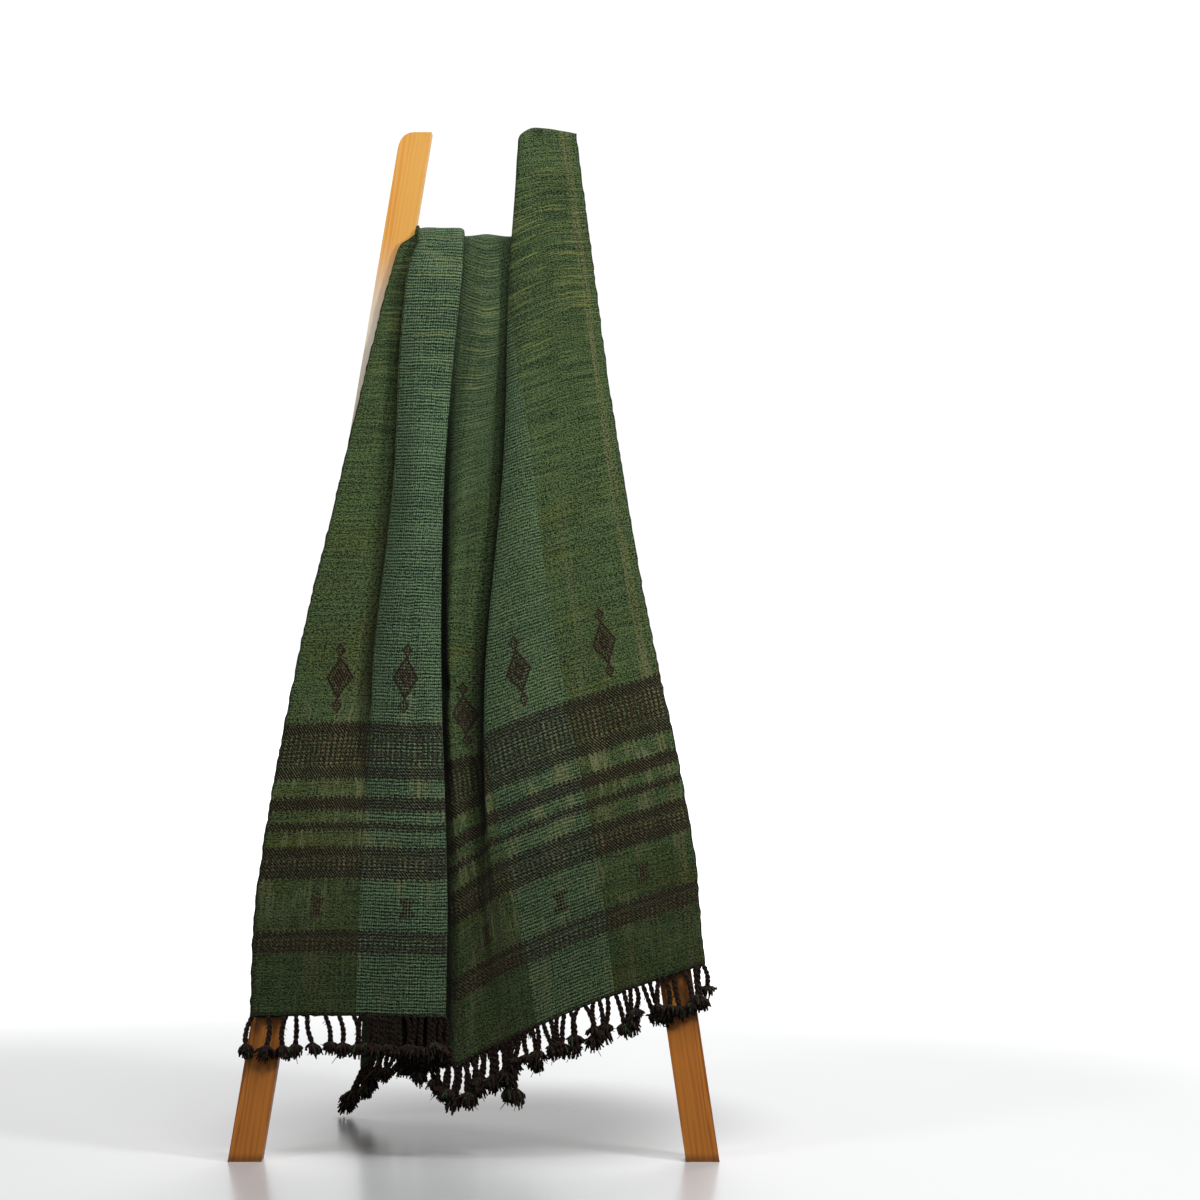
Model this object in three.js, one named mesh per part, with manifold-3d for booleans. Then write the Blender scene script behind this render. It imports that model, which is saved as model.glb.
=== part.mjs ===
// A hand-woven wool throw with a twisted fringe, hung over the top rung and one rail end
// of a leaning wooden ladder. Millimetres, +Z up, +Y away from the viewer. The front of the
// ladder faces -Y, and its feet stand at z = 0.
import * as THREE from "three";
import * as BufferGeometryUtils from "three/addons/utils/BufferGeometryUtils.js";
import Module from "manifold-3d";

const wasm = await Module();
wasm.setup();

// Ladder
const LADDER_HEIGHT = 1337;
const LEAN = 0.2493; // the ladder goes this far back for each millimetre of height
const LEAN_COS = 1 / Math.sqrt(1 + LEAN * LEAN);
const RAIL_WIDTH = 42;
const RAIL_DEPTH = 30;
const RAIL_TOP_ROUND = 24; // the outer top corner
const RAIL_SPREAD = { foot: 286.5, top: 91.5 }; // centre of a rail from the ladder's middle
const RUNG_RADIUS = 14;
const TENON_RADIUS = 8;
const TENON_LENGTH = 14;
const JOINT_GAP = 0.3;
const RUNG_HEIGHTS = [290, 590, 885, 1174.6];

// Cloth
const CLOTH_WIDTH = 715;
const CLOTH_THICKNESS = 2.5;
const CLEARANCE = 3.4; // from the wood to the middle of the cloth's thickness
const RUNG_BEND = RAIL_DEPTH / 2 + CLEARANCE; // radius of the cloth over the rung
const RAIL_BEND = 6; // radius of the cloth at each edge of the rail end
const FRONT_SLOPE = Math.PI - Math.atan(LEAN); // direction that the front fall faces

// Fringe
const HEM_GAP = 0.75; // from the hem to the strip, straight down, so that a steep hem keeps 0.3
const STRIP_HEIGHT = 5;
const ROOT_DROP = 0.85; // share of the strip's height at which a strand starts
const STRAND_PITCH = 17.5;
const STRAND_LENGTH = 54;
const STRAND_WIDTH = 4.8;
const STRAND_DEPTH = 3.4;
const STRAND_SWAY = 2.5; // strands hang a little out of line, to either side
const TUFT_WIDTH = 10.5;
const TUFT_DEPTH = 6;
const TUFT_LIFT = 2; // a tuft's end stands off the fall by this much more than its root
const CORNER_STRANDS = 3; // at the lowest corner, at the back: they end on the floor
const CORNER_SWING = -34; // and are drawn this far aside

// Sections along the throw, from the front hem (at 0) over the crest (at 1) to the back hem
// (at 2). The columns are the lines that the folds follow, in millimetres from the ladder's
// middle: left selvedge, edge of the narrow tuck, first fold, turn of the pleat behind it,
// recess, ridge, turn of the second pleat, second fold and right selvedge. tuck and open say
// how wide the narrow tuck is and how far the second pleat has opened out.
const SECTIONS = [
  { at: 0.0, left: -284, tuckEdge: -153, fold1: -37, pleat1: -92, recess: -22, ridge: -8,
    ridgeEdge: 6, pleat2: 16, fold2: 26, right: 291, tuck: 0, open: 1 },
  { at: 0.15, left: -279.5, tuckEdge: -150, fold1: -37, pleat1: -90, recess: -29, ridge: -17,
    ridgeEdge: -4, pleat2: 8, fold2: 3, right: 275, tuck: 0, open: 0.55 },
  { at: 0.43, left: -235, tuckEdge: -136, fold1: -48, pleat1: -98, recess: -44, ridge: -36,
    ridgeEdge: -24, pleat2: 34, fold2: 10.5, right: 213.5, tuck: 12, open: 0 },
  { at: 0.66, left: -184, tuckEdge: -113, fold1: -47.5, pleat1: -84, recess: -43, ridge: -24,
    ridgeEdge: 0, pleat2: 66, fold2: 32.5, right: 172, tuck: 22, open: 0 },
  { at: 0.84, left: -144, tuckEdge: -107, fold1: -36, pleat1: -66, recess: -33, ridge: -2,
    ridgeEdge: 28, pleat2: 80, fold2: 37, right: 146, tuck: 25, open: 0 },
  { at: 0.94, left: -119, tuckEdge: -99, fold1: -27, pleat1: -52, recess: -24, ridge: 3,
    ridgeEdge: 34, pleat2: 81, fold2: 45, right: 132, tuck: 21, open: 0 },
  { at: 0.98, left: -89.5, tuckEdge: -86, fold1: -26, pleat1: -47, recess: -22, ridge: 6,
    ridgeEdge: 38, pleat2: 80, fold2: 48, right: 126, tuck: 18, open: 0 },
  { at: 1.02, left: -88, tuckEdge: -86, fold1: -26, pleat1: -47, recess: -22, ridge: 6,
    ridgeEdge: 38, pleat2: 80, fold2: 48, right: 126, tuck: 18, open: 0 },
  { at: 1.1, left: -96, tuckEdge: -88, fold1: -27, pleat1: -50, recess: -22, ridge: 6,
    ridgeEdge: 36, pleat2: 79, fold2: 46, right: 134, tuck: 18, open: 0 },
  { at: 1.5, left: -142, tuckEdge: -100, fold1: -34, pleat1: -66, recess: -26, ridge: 0,
    ridgeEdge: 24, pleat2: 62, fold2: 36, right: 176, tuck: 14, open: 0 },
  { at: 2.0, left: -168, tuckEdge: -92, fold1: -22, pleat1: -60, recess: -14, ridge: 4,
    ridgeEdge: 26, pleat2: 42, fold2: 54, right: 206, tuck: 4, open: 0.9 },
];

// How far each layer stands off the ladder at the same sections, past the clearance: the
// layer that lies lowest, the middle one, then the visible ones.
const DEPTHS = [
  { at: 0.0, low: 0, middle: 8, left: 5, tuckEdge: 9, crown: 19, fold1: 20, recess: 2,
    ridge: 4, fold2: 8, panel: 15, swell: 9, right: 5 },
  { at: 0.15, low: 0, middle: 8, left: 5, tuckEdge: 10, crown: 24, fold1: 22, recess: 2,
    ridge: 3, fold2: 14, panel: 19, swell: 12, right: 5 },
  { at: 0.43, low: 0, middle: 8, left: 4, tuckEdge: 15, crown: 30, fold1: 24, recess: 2,
    ridge: 9, fold2: 16, panel: 22, swell: 11, right: 5 },
  { at: 0.66, low: 0, middle: 8, left: 4, tuckEdge: 16, crown: 31, fold1: 24, recess: 6,
    ridge: 20, fold2: 16, panel: 21, swell: 13, right: 4 },
  { at: 0.84, low: 0, middle: 7.5, left: 2, tuckEdge: 15, crown: 25, fold1: 20, recess: 7,
    ridge: 17, fold2: 16, panel: 19, swell: 11, right: 3 },
  { at: 0.94, low: 0, middle: 6.5, left: 1, tuckEdge: 13, crown: 17, fold1: 15, recess: 5,
    ridge: 9, fold2: 13, panel: 11, swell: 6, right: 2 },
  { at: 0.98, low: 0, middle: 5, left: 0, tuckEdge: 10, crown: 11, fold1: 10, recess: 0,
    ridge: 2, fold2: 10, panel: 4, swell: 2, right: 1 },
  { at: 1.02, low: 0, middle: 5, left: 0, tuckEdge: 10, crown: 11, fold1: 10, recess: 0,
    ridge: 2, fold2: 10, panel: 4, swell: 2, right: 1 },
  { at: 1.1, low: 0, middle: 6, left: 2, tuckEdge: 12, crown: 14, fold1: 12, recess: 4,
    ridge: 6, fold2: 12, panel: 6, swell: 4, right: 2 },
  { at: 1.5, low: 0, middle: 8, left: 8, tuckEdge: 16, crown: 25, fold1: 18, recess: 8,
    ridge: 14, fold2: 16, panel: 16, swell: 8, right: 10 },
  { at: 2.0, low: 0, middle: 8, left: 16, tuckEdge: 18, crown: 24, fold1: 19, recess: 6,
    ridge: 10, fold2: 12, panel: 18, swell: 4, right: 12 },
];

// Heights across the width, at distances from the left selvedge: the front hem, the crest
// and the back hem. onRail is 0 over the rung and 1 over the end of the right rail.
const HEIGHTS = [
  { across: 0, frontHem: 176, crest: 1193, backHem: 60, onRail: 0 },
  { across: 60, frontHem: 178, crest: 1193, backHem: 96, onRail: 0 },
  { across: 131, frontHem: 179, crest: 1193, backHem: 106, onRail: 0 },
  { across: 243, frontHem: 177, crest: 1193, backHem: 114, onRail: 0 },
  { across: 300, frontHem: 164, crest: 1193, backHem: 118, onRail: 0 },
  { across: 360, frontHem: 116, crest: 1193, backHem: 122, onRail: 0 },
  { across: 395, frontHem: 135, crest: 1193, backHem: 130, onRail: 0 },
  { across: 440, frontHem: 153, crest: 1190, backHem: 150, onRail: 0 },
  { across: 490, frontHem: 173, crest: 1195, backHem: 178, onRail: 0.02 },
  { across: 560, frontHem: 197, crest: 1262, backHem: 228, onRail: 0.5 },
  { across: 636, frontHem: 219, crest: 1331, backHem: 285, onRail: 1 },
  { across: 656, frontHem: 224.5, crest: 1340, backHem: 294.5, onRail: 1 },
  { across: 680, frontHem: 231, crest: 1341, backHem: 306, onRail: 1 },
  { across: 715, frontHem: 241, crest: 1334, backHem: 322, onRail: 1 },
];

// Where the fold lines lie on the flat cloth, from the left selvedge, at the same sections.
const FOLD_LINES = [
  { at: 0.0, tuckEdge: 131, fold1: 243, pleat1: 301, recess: 360, pleat2: 404, fold2: 414 },
  { at: 0.15, tuckEdge: 131, fold1: 240, pleat1: 300, recess: 363, pleat2: 412, fold2: 424 },
  { at: 0.43, tuckEdge: 131, fold1: 227, pleat1: 305, recess: 385, pleat2: 462, fold2: 486 },
  { at: 0.66, tuckEdge: 131, fold1: 207, pleat1: 284, recess: 362, pleat2: 488, fold2: 545 },
  { at: 0.84, tuckEdge: 131, fold1: 202, pleat1: 276, recess: 350, pleat2: 497, fold2: 588 },
  { at: 1.0, tuckEdge: 131, fold1: 205, pleat1: 278, recess: 350, pleat2: 490, fold2: 636 },
  { at: 1.5, tuckEdge: 131, fold1: 210, pleat1: 280, recess: 352, pleat2: 470, fold2: 560 },
  { at: 2.0, tuckEdge: 131, fold1: 230, pleat1: 292, recess: 356, pleat2: 424, fold2: 440 },
];

const lerp = THREE.MathUtils.lerp;

// A smooth curve through one column of a table, for a row's key that rises down the table.
function column(table, key, name, at) {
  let row = 0;
  while (row < table.length - 2 && at > table[row + 1][key]) {
    row += 1;
  }
  const [a, b] = [table[row], table[row + 1]];
  const before = table[Math.max(0, row - 1)];
  const after = table[Math.min(table.length - 1, row + 2)];
  const span = b[key] - a[key];
  const t = THREE.MathUtils.clamp((at - a[key]) / span, 0, 1);
  const slopeA = (span * (b[name] - before[name])) / (b[key] - before[key]);
  const slopeB = (span * (after[name] - a[name])) / (after[key] - a[key]);
  const t2 = t * t;
  const t3 = t2 * t;
  return (2 * t3 - 3 * t2 + 1) * a[name] + (t3 - 2 * t2 + t) * slopeA
    + (3 * t2 - 2 * t3) * b[name] + (t3 - t2) * slopeB;
}

// The same without a curve, for tables whose steps must not overshoot.
function straight(table, key, name, at) {
  let row = 0;
  while (row < table.length - 2 && at > table[row + 1][key]) {
    row += 1;
  }
  const [a, b] = [table[row], table[row + 1]];
  const t = THREE.MathUtils.clamp((at - a[key]) / (b[key] - a[key]), 0, 1);
  return lerp(a[name], b[name], t);
}

// A turn of the cloth back on itself: it comes in at one depth, rounds the tip and goes
// back at another. side is 1 where the tip points right and -1 where it points left.
function turn(tip, side, depthIn, depthOut, acrossIn, acrossTip, acrossOut) {
  const radius = Math.abs(depthOut - depthIn) / 2;
  const back = tip - side * radius * 1.2;
  return [
    { x: back, depth: depthIn, across: acrossIn },
    { x: tip, depth: (depthIn + depthOut) / 2, across: acrossTip },
    { x: back, depth: depthOut, across: acrossOut },
  ];
}

// Moves a run of points towards an even, unfolded row between its two ends.
function unfold(points, from, to, share) {
  return points.map((point, i) => {
    const t = (i + 1) / (points.length + 1);
    return {
      x: lerp(point.x, lerp(from.x, to.x, t), share),
      depth: lerp(point.depth, lerp(from.depth, to.depth, t), share),
      across: lerp(point.across, lerp(from.across, to.across, t), share),
    };
  });
}

// One section across the throw: where the cloth goes, its depth off the ladder, and how far
// across the flat cloth each point lies.
function section(at) {
  const s = (name) => column(SECTIONS, "at", name, at);
  const d = (name) => column(DEPTHS, "at", name, at);
  const f = (name) => column(FOLD_LINES, "at", name, at);
  const low = d("low");
  const middle = d("middle");
  const tuck = Math.max(0, s("tuck"));
  const open = THREE.MathUtils.clamp(s("open"), 0, 1);
  const tuckOpen = THREE.MathUtils.clamp(1 - tuck / 12, 0, 1);
  const edge = f("tuckEdge");
  const fold1 = f("fold1");
  const recess = f("recess");
  const pleat2 = f("pleat2");
  const fold2 = f("fold2");

  const left = { x: s("left"), depth: d("left"), across: 0 };
  const stripX = lerp(s("left"), s("tuckEdge"), 0.5);
  const strip = { x: stripX, depth: d("left") + 2 * tuckOpen, across: edge * 0.42 };
  const crown = {
    x: lerp(s("tuckEdge"), s("fold1"), 0.5),
    depth: d("crown"),
    across: lerp(edge, fold1, 0.5),
  };
  const foldedTuck = [
    ...turn(s("tuckEdge") + tuck, 1, low, middle, edge * 0.66, edge * 0.76, edge * 0.84),
    ...turn(s("tuckEdge"), -1, middle, d("tuckEdge"), edge * 0.9, edge * 0.97, edge * 1.04),
  ];
  const tuckPoints = unfold(foldedTuck, strip, crown, tuckOpen);

  const pleat = [
    ...turn(s("fold1"), 1, d("fold1"), middle, fold1 - 6, fold1, fold1 + 6),
    ...turn(s("pleat1"), -1, middle, low, f("pleat1") - 5, f("pleat1"), f("pleat1") + 5),
  ];
  const hollow = { x: s("recess"), depth: d("recess"), across: recess };
  const ridge = { x: s("ridge"), depth: d("ridge"), across: lerp(recess, pleat2, 0.22) };
  const flank = {
    x: s("ridgeEdge"),
    depth: lerp(d("ridge"), low, 0.8),
    across: lerp(recess, pleat2, 0.48),
  };
  const right = { x: s("right"), depth: d("right"), across: CLOTH_WIDTH };
  const panel = (share, depth) => ({
    x: lerp(s("fold2"), s("right"), share),
    depth,
    across: lerp(fold2, CLOTH_WIDTH, share),
  });
  const first = panel(0.22, d("panel"));
  const foldedPleat = [
    ...turn(s("pleat2"), 1, low, middle, pleat2 - 5, pleat2, pleat2 + 5),
    ...turn(s("fold2"), -1, middle, d("fold2"), fold2 - 6, fold2, fold2 + 6),
  ];
  return [
    left, strip, ...tuckPoints, crown, ...pleat, hollow, ridge, flank,
    ...unfold(foldedPleat, flank, first, open),
    first, panel(0.42, lerp(d("panel"), d("swell"), 0.6)), panel(0.62, d("swell")),
    panel(0.82, lerp(d("swell"), d("right"), 0.4)), right,
  ];
}

// Share of the way along at which the cloth leaves the front slope and reaches the back.
const CREST_START = 0.98;
const CREST_END = 1.02;

// Puts a section's point in space: on the slope of the ladder, over the crest, or in the
// plumb fall behind.
function place(point, at) {
  const h = (name) => straight(HEIGHTS, "across", name, point.across);
  const onRail = h("onRail");
  const bend = lerp(RUNG_BEND, RAIL_BEND, onRail);
  const reach = bend + point.depth;
  const centreZ = h("crest") - bend;
  const frontY = LEAN * centreZ + (bend - CLEARANCE) / LEAN_COS;
  const behindRail = LEAN * LADDER_HEIGHT + RAIL_DEPTH / LEAN_COS + CLEARANCE - RAIL_BEND;
  const backY = lerp(frontY, behindRail, onRail);
  if (at < CREST_START) {
    const startZ = centreZ + reach * Math.sin(FRONT_SLOPE);
    const z = lerp(h("frontHem"), startZ, at / CREST_START);
    return new THREE.Vector3(point.x, LEAN * z - (CLEARANCE + point.depth) / LEAN_COS, z);
  }
  if (at > CREST_END) {
    const t = (at - CREST_END) / (2 - CREST_END);
    return new THREE.Vector3(point.x, backY + reach, lerp(centreZ, h("backHem"), t));
  }
  const frontArc = reach * (FRONT_SLOPE - Math.PI / 2);
  const backArc = (reach * Math.PI) / 2;
  const flat = backY - frontY;
  const run = ((at - CREST_START) / (CREST_END - CREST_START)) * (frontArc + flat + backArc);
  if (run < frontArc) {
    const angle = FRONT_SLOPE - run / reach;
    return new THREE.Vector3(
      point.x, frontY + reach * Math.cos(angle), centreZ + reach * Math.sin(angle));
  }
  if (run < frontArc + flat) {
    return new THREE.Vector3(point.x, frontY + run - frontArc, centreZ + reach);
  }
  const angle = Math.PI / 2 - (run - frontArc - flat) / reach;
  return new THREE.Vector3(
    point.x, backY + reach * Math.cos(angle), centreZ + reach * Math.sin(angle));
}

// The line across the throw at one section, as a smooth curve through its placed points.
function clothLine(at) {
  const points = section(at).map((point) => place(point, at));
  return new THREE.CatmullRomCurve3(points, false, "centripetal");
}

// How the grid is shared out: steps between the points of a section, and rows on the front
// fall, the crest and the back fall.
const WIDE_STEPS = 2;
const FRONT_ROWS = 22;
const CREST_ROWS = 6;
const BACK_ROWS = 14;

function rowPlaces() {
  const rows = [];
  for (let i = 0; i < FRONT_ROWS; i += 1) {
    rows.push((CREST_START * i) / FRONT_ROWS);
  }
  for (let i = 0; i < CREST_ROWS; i += 1) {
    rows.push(lerp(CREST_START, CREST_END, i / CREST_ROWS));
  }
  for (let i = 0; i <= BACK_ROWS; i += 1) {
    rows.push(lerp(CREST_END, 2, i / BACK_ROWS));
  }
  return rows;
}

// Where along a section's curve the grid has its columns: one step at the tight turns and
// two between the wide points.
function columnPlaces() {
  const points = section(0.66);
  const last = points.length - 1;
  const places = [];
  for (let i = 0; i < last; i += 1) {
    const gap = Math.hypot(points[i + 1].x - points[i].x, points[i + 1].depth - points[i].depth);
    const steps = gap > 22 ? WIDE_STEPS : 1;
    for (let k = 0; k < steps; k += 1) {
      places.push((i + k / steps) / last);
    }
  }
  places.push(1);
  return places;
}

// Makes a closed sheet of even thickness from a grid of points on its middle surface.
function sheetGeometry(grid, thickness) {
  const rows = grid.length;
  const columns = grid[0].length;
  const positions = [];
  const along = new THREE.Vector3();
  const acrossWay = new THREE.Vector3();
  const normal = new THREE.Vector3();
  for (const side of [1, -1]) {
    for (let i = 0; i < rows; i += 1) {
      for (let j = 0; j < columns; j += 1) {
        along.subVectors(grid[Math.min(i + 1, rows - 1)][j], grid[Math.max(i - 1, 0)][j]);
        acrossWay.subVectors(grid[i][Math.min(j + 1, columns - 1)], grid[i][Math.max(j - 1, 0)]);
        normal.crossVectors(acrossWay, along).normalize();
        const point = grid[i][j].clone().addScaledVector(normal, (side * thickness) / 2);
        positions.push(point.x, point.y, point.z);
      }
    }
  }
  const at = (side, i, j) => side * rows * columns + i * columns + j;
  const faces = [];
  const quad = (a, b, c, d) => faces.push(a, b, c, a, c, d);
  for (let i = 0; i < rows - 1; i += 1) {
    for (let j = 0; j < columns - 1; j += 1) {
      quad(at(0, i, j), at(0, i, j + 1), at(0, i + 1, j + 1), at(0, i + 1, j));
      quad(at(1, i, j), at(1, i + 1, j), at(1, i + 1, j + 1), at(1, i, j + 1));
    }
  }
  for (let j = 0; j < columns - 1; j += 1) {
    quad(at(0, 0, j), at(1, 0, j), at(1, 0, j + 1), at(0, 0, j + 1));
    quad(at(0, rows - 1, j), at(0, rows - 1, j + 1), at(1, rows - 1, j + 1), at(1, rows - 1, j));
  }
  for (let i = 0; i < rows - 1; i += 1) {
    quad(at(0, i, 0), at(0, i + 1, 0), at(1, i + 1, 0), at(1, i, 0));
    quad(at(0, i, columns - 1), at(1, i, columns - 1), at(1, i + 1, columns - 1),
      at(0, i + 1, columns - 1));
  }
  const geometry = new THREE.BufferGeometry();
  geometry.setAttribute("position", new THREE.Float32BufferAttribute(positions, 3));
  geometry.setIndex(faces);
  return geometry;
}

function solid(geometry) {
  const bare = geometry.clone();
  bare.deleteAttribute("normal");
  bare.deleteAttribute("uv");
  const merged = BufferGeometryUtils.mergeVertices(bare, 1e-4);
  return new wasm.Manifold(new wasm.Mesh({
    numProp: 3,
    vertProperties: new Float32Array(merged.attributes.position.array),
    triVerts: new Uint32Array(merged.index.array),
  }));
}

function geometryOf(manifold) {
  const mesh = manifold.getMesh();
  const geometry = new THREE.BufferGeometry();
  geometry.setAttribute("position", new THREE.BufferAttribute(mesh.vertProperties, 3));
  geometry.setIndex(new THREE.BufferAttribute(mesh.triVerts, 1));
  return geometry;
}

const WOOD = new THREE.MeshStandardMaterial({ color: 0xc98a4b, roughness: 0.5, metalness: 0 });
const WOOL = new THREE.MeshStandardMaterial({ color: 0x35563a, roughness: 0.95, metalness: 0 });
const YARN = new THREE.MeshStandardMaterial({ color: 0x241a18, roughness: 0.95, metalness: 0 });

const group = new THREE.Group();

function add(name, geometry, material) {
  const mesh = new THREE.Mesh(geometry, material);
  mesh.name = name;
  group.add(mesh);
  return mesh;
}

// A rung is a turned rod with a thinner tenon at each end, let into a blind bore in the rail.
function railCentre(z) {
  return lerp(RAIL_SPREAD.foot, RAIL_SPREAD.top, z / LADDER_HEIGHT);
}

function rungDepth(z) {
  return LEAN * z + RAIL_DEPTH / 2 / LEAN_COS;
}

const SPLAY = (RAIL_SPREAD.foot - RAIL_SPREAD.top) / LADDER_HEIGHT;

function rungGeometry(z) {
  const inner = railCentre(z) - RAIL_WIDTH / 2;
  const shoulder = inner - RUNG_RADIUS * SPLAY - JOINT_GAP;
  const end = inner + TENON_LENGTH;
  const profile = [
    [0, -end], [TENON_RADIUS, -end], [TENON_RADIUS, -shoulder], [RUNG_RADIUS, -shoulder],
    [RUNG_RADIUS, shoulder], [TENON_RADIUS, shoulder], [TENON_RADIUS, end], [0, end],
  ].map(([radius, x]) => new THREE.Vector2(radius, x));
  const geometry = new THREE.LatheGeometry(profile, 20);
  geometry.rotateZ(-Math.PI / 2);
  geometry.translate(0, rungDepth(z), z);
  return geometry;
}

// A rail is cut flat at the foot and the top, with its outer top corner rounded.
function railGeometry(side) {
  const half = RAIL_WIDTH / 2;
  const foot = RAIL_SPREAD.foot;
  const top = RAIL_SPREAD.top;
  const outline = new THREE.Shape();
  outline.moveTo(foot - half, 0);
  outline.lineTo(foot + half, 0);
  outline.lineTo(top + half + RAIL_TOP_ROUND * SPLAY, LADDER_HEIGHT - RAIL_TOP_ROUND);
  outline.quadraticCurveTo(top + half, LADDER_HEIGHT, top + half - RAIL_TOP_ROUND * 0.8,
    LADDER_HEIGHT);
  outline.lineTo(top - half, LADDER_HEIGHT);
  outline.closePath();
  const depth = RAIL_DEPTH / LEAN_COS;
  const geometry = new THREE.ExtrudeGeometry(outline, {
    depth, bevelEnabled: false, curveSegments: 6,
  });
  const position = geometry.attributes.position;
  for (let i = 0; i < position.count; i += 1) {
    const [x, z, y] = [position.getX(i), position.getY(i), position.getZ(i)];
    position.setXYZ(i, side * x, y + LEAN * z, z);
  }
  if (side > 0) {
    const index = Array.from({ length: position.count }, (_, i) => i);
    for (let i = 0; i < index.length; i += 3) {
      [index[i + 1], index[i + 2]] = [index[i + 2], index[i + 1]];
    }
    geometry.setIndex(index);
  }
  let rail = solid(geometry);
  for (const z of RUNG_HEIGHTS) {
    const inner = railCentre(z) - RAIL_WIDTH / 2;
    const bore = new THREE.CylinderGeometry(
      TENON_RADIUS + JOINT_GAP, TENON_RADIUS + JOINT_GAP, 2 * (TENON_LENGTH + JOINT_GAP), 20);
    bore.rotateZ(Math.PI / 2);
    bore.translate(side * inner, rungDepth(z), z);
    rail = rail.subtract(solid(bore));
  }
  return geometryOf(rail);
}

function throwGeometry() {
  const columns = columnPlaces();
  const grid = rowPlaces().map((at) => {
    const line = clothLine(at);
    return columns.map((place) => line.getPoint(place));
  });
  return sheetGeometry(grid, CLOTH_THICKNESS);
}

// A strand is a four-sided twist that spreads into a tuft at its free end.
function strandGeometry(root, end) {
  const rings = [
    { along: 0, width: STRAND_WIDTH, depth: STRAND_DEPTH },
    { along: 0.58, width: STRAND_WIDTH, depth: STRAND_DEPTH },
    { along: 0.76, width: TUFT_WIDTH, depth: TUFT_DEPTH },
    { along: 1, width: TUFT_WIDTH, depth: TUFT_DEPTH },
  ];
  const positions = [];
  for (const ring of rings) {
    const centre = new THREE.Vector3().lerpVectors(root, end, ring.along);
    for (const [sx, sy] of [[1, 1], [-1, 1], [-1, -1], [1, -1]]) {
      positions.push(
        centre.x + (sx * ring.width) / 2, centre.y + (sy * ring.depth) / 2, centre.z);
    }
  }
  const faces = [0, 1, 2, 0, 2, 3];
  for (let r = 0; r < rings.length - 1; r += 1) {
    for (let k = 0; k < 4; k += 1) {
      const [a, b] = [4 * r + k, 4 * r + ((k + 1) % 4)];
      faces.push(a, a + 4, b, b, a + 4, b + 4);
    }
  }
  const last = 4 * (rings.length - 1);
  faces.push(last, last + 2, last + 1, last, last + 3, last + 2);
  const geometry = new THREE.BufferGeometry();
  geometry.setAttribute("position", new THREE.Float32BufferAttribute(positions, 3));
  geometry.setIndex(faces);
  return geometry;
}

// The narrow strip under a hem, in the hem's own folds, and the strands fused into it.
function fringeGeometry(at, leanOut) {
  const line = clothLine(at);
  const columns = columnPlaces();
  const hem = columns.map((place) => line.getPoint(place));
  const down = at < 1 ? new THREE.Vector3(0, -LEAN, -1) : new THREE.Vector3(0, 0, -1);
  const strip = [HEM_GAP, HEM_GAP + STRIP_HEIGHT].map((drop) =>
    hem.map((point) => point.clone().addScaledVector(down, drop)));
  let fringe = solid(sheetGeometry([strip[1], strip[0]], CLOTH_THICKNESS));
  const points = section(at);
  const count = Math.floor(CLOTH_WIDTH / STRAND_PITCH);
  for (let i = 0; i < count; i += 1) {
    const across = (i + 0.5) * (CLOTH_WIDTH / count);
    let j = 0;
    while (points[j + 1].across < across) {
      j += 1;
    }
    const t = (across - points[j].across) / (points[j + 1].across - points[j].across);
    const root = line.getPoint((j + t) / (points.length - 1));
    root.addScaledVector(down, HEM_GAP + STRIP_HEIGHT * ROOT_DROP);
    const end = root.clone().addScaledVector(down, STRAND_LENGTH);
    end.x += leanOut(i);
    end.y += at < 1 ? -TUFT_LIFT : TUFT_LIFT;
    end.z = at > 1 && i < CORNER_STRANDS ? 0 : Math.max(0, end.z);
    fringe = fringe.add(solid(strandGeometry(root, end)));
  }
  return geometryOf(fringe);
}

add("rail_left", railGeometry(-1), WOOD);
add("rail_right", railGeometry(1), WOOD);
RUNG_HEIGHTS.forEach((z, i) => add(`rung_${i + 1}`, rungGeometry(z), WOOD));
add("throw", throwGeometry(), WOOL);
add("fringe_front", fringeGeometry(0, (i) => STRAND_SWAY * Math.sin(2.1 * i)), YARN);
add("fringe_back", fringeGeometry(2, (i) =>
  (i < CORNER_STRANDS ? CORNER_SWING : STRAND_SWAY * Math.sin(1.7 * i))), YARN);

// The origin is the middle of the part's floor box.
group.updateMatrixWorld(true);
const box = new THREE.Box3().setFromObject(group);
const centre = box.getCenter(new THREE.Vector3());
for (const mesh of group.children) {
  mesh.position.set(-centre.x, -centre.y, 0);
}

export default group;
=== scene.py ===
import math
import random

import bmesh
import bpy
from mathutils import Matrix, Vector, noise


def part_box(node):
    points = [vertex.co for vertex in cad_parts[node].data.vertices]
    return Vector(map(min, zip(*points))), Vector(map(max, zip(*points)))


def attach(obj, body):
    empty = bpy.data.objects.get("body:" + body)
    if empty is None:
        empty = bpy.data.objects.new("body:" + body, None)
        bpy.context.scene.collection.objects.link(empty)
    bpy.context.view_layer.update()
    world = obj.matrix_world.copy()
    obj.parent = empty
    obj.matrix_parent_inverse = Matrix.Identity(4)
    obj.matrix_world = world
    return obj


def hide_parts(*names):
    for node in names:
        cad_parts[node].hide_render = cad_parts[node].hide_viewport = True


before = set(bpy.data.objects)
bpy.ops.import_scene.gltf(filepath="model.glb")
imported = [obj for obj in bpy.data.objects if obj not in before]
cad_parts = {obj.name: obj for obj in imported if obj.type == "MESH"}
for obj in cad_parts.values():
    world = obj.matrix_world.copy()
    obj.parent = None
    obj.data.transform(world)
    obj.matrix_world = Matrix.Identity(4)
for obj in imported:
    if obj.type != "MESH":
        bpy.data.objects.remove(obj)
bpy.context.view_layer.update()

BODY = "root"
MM = 0.001

# Place of the ladder in the frame: its middle is at x = 0 and the front edge of its feet here.
FEET_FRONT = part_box("rail_left")[0][1]

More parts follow.
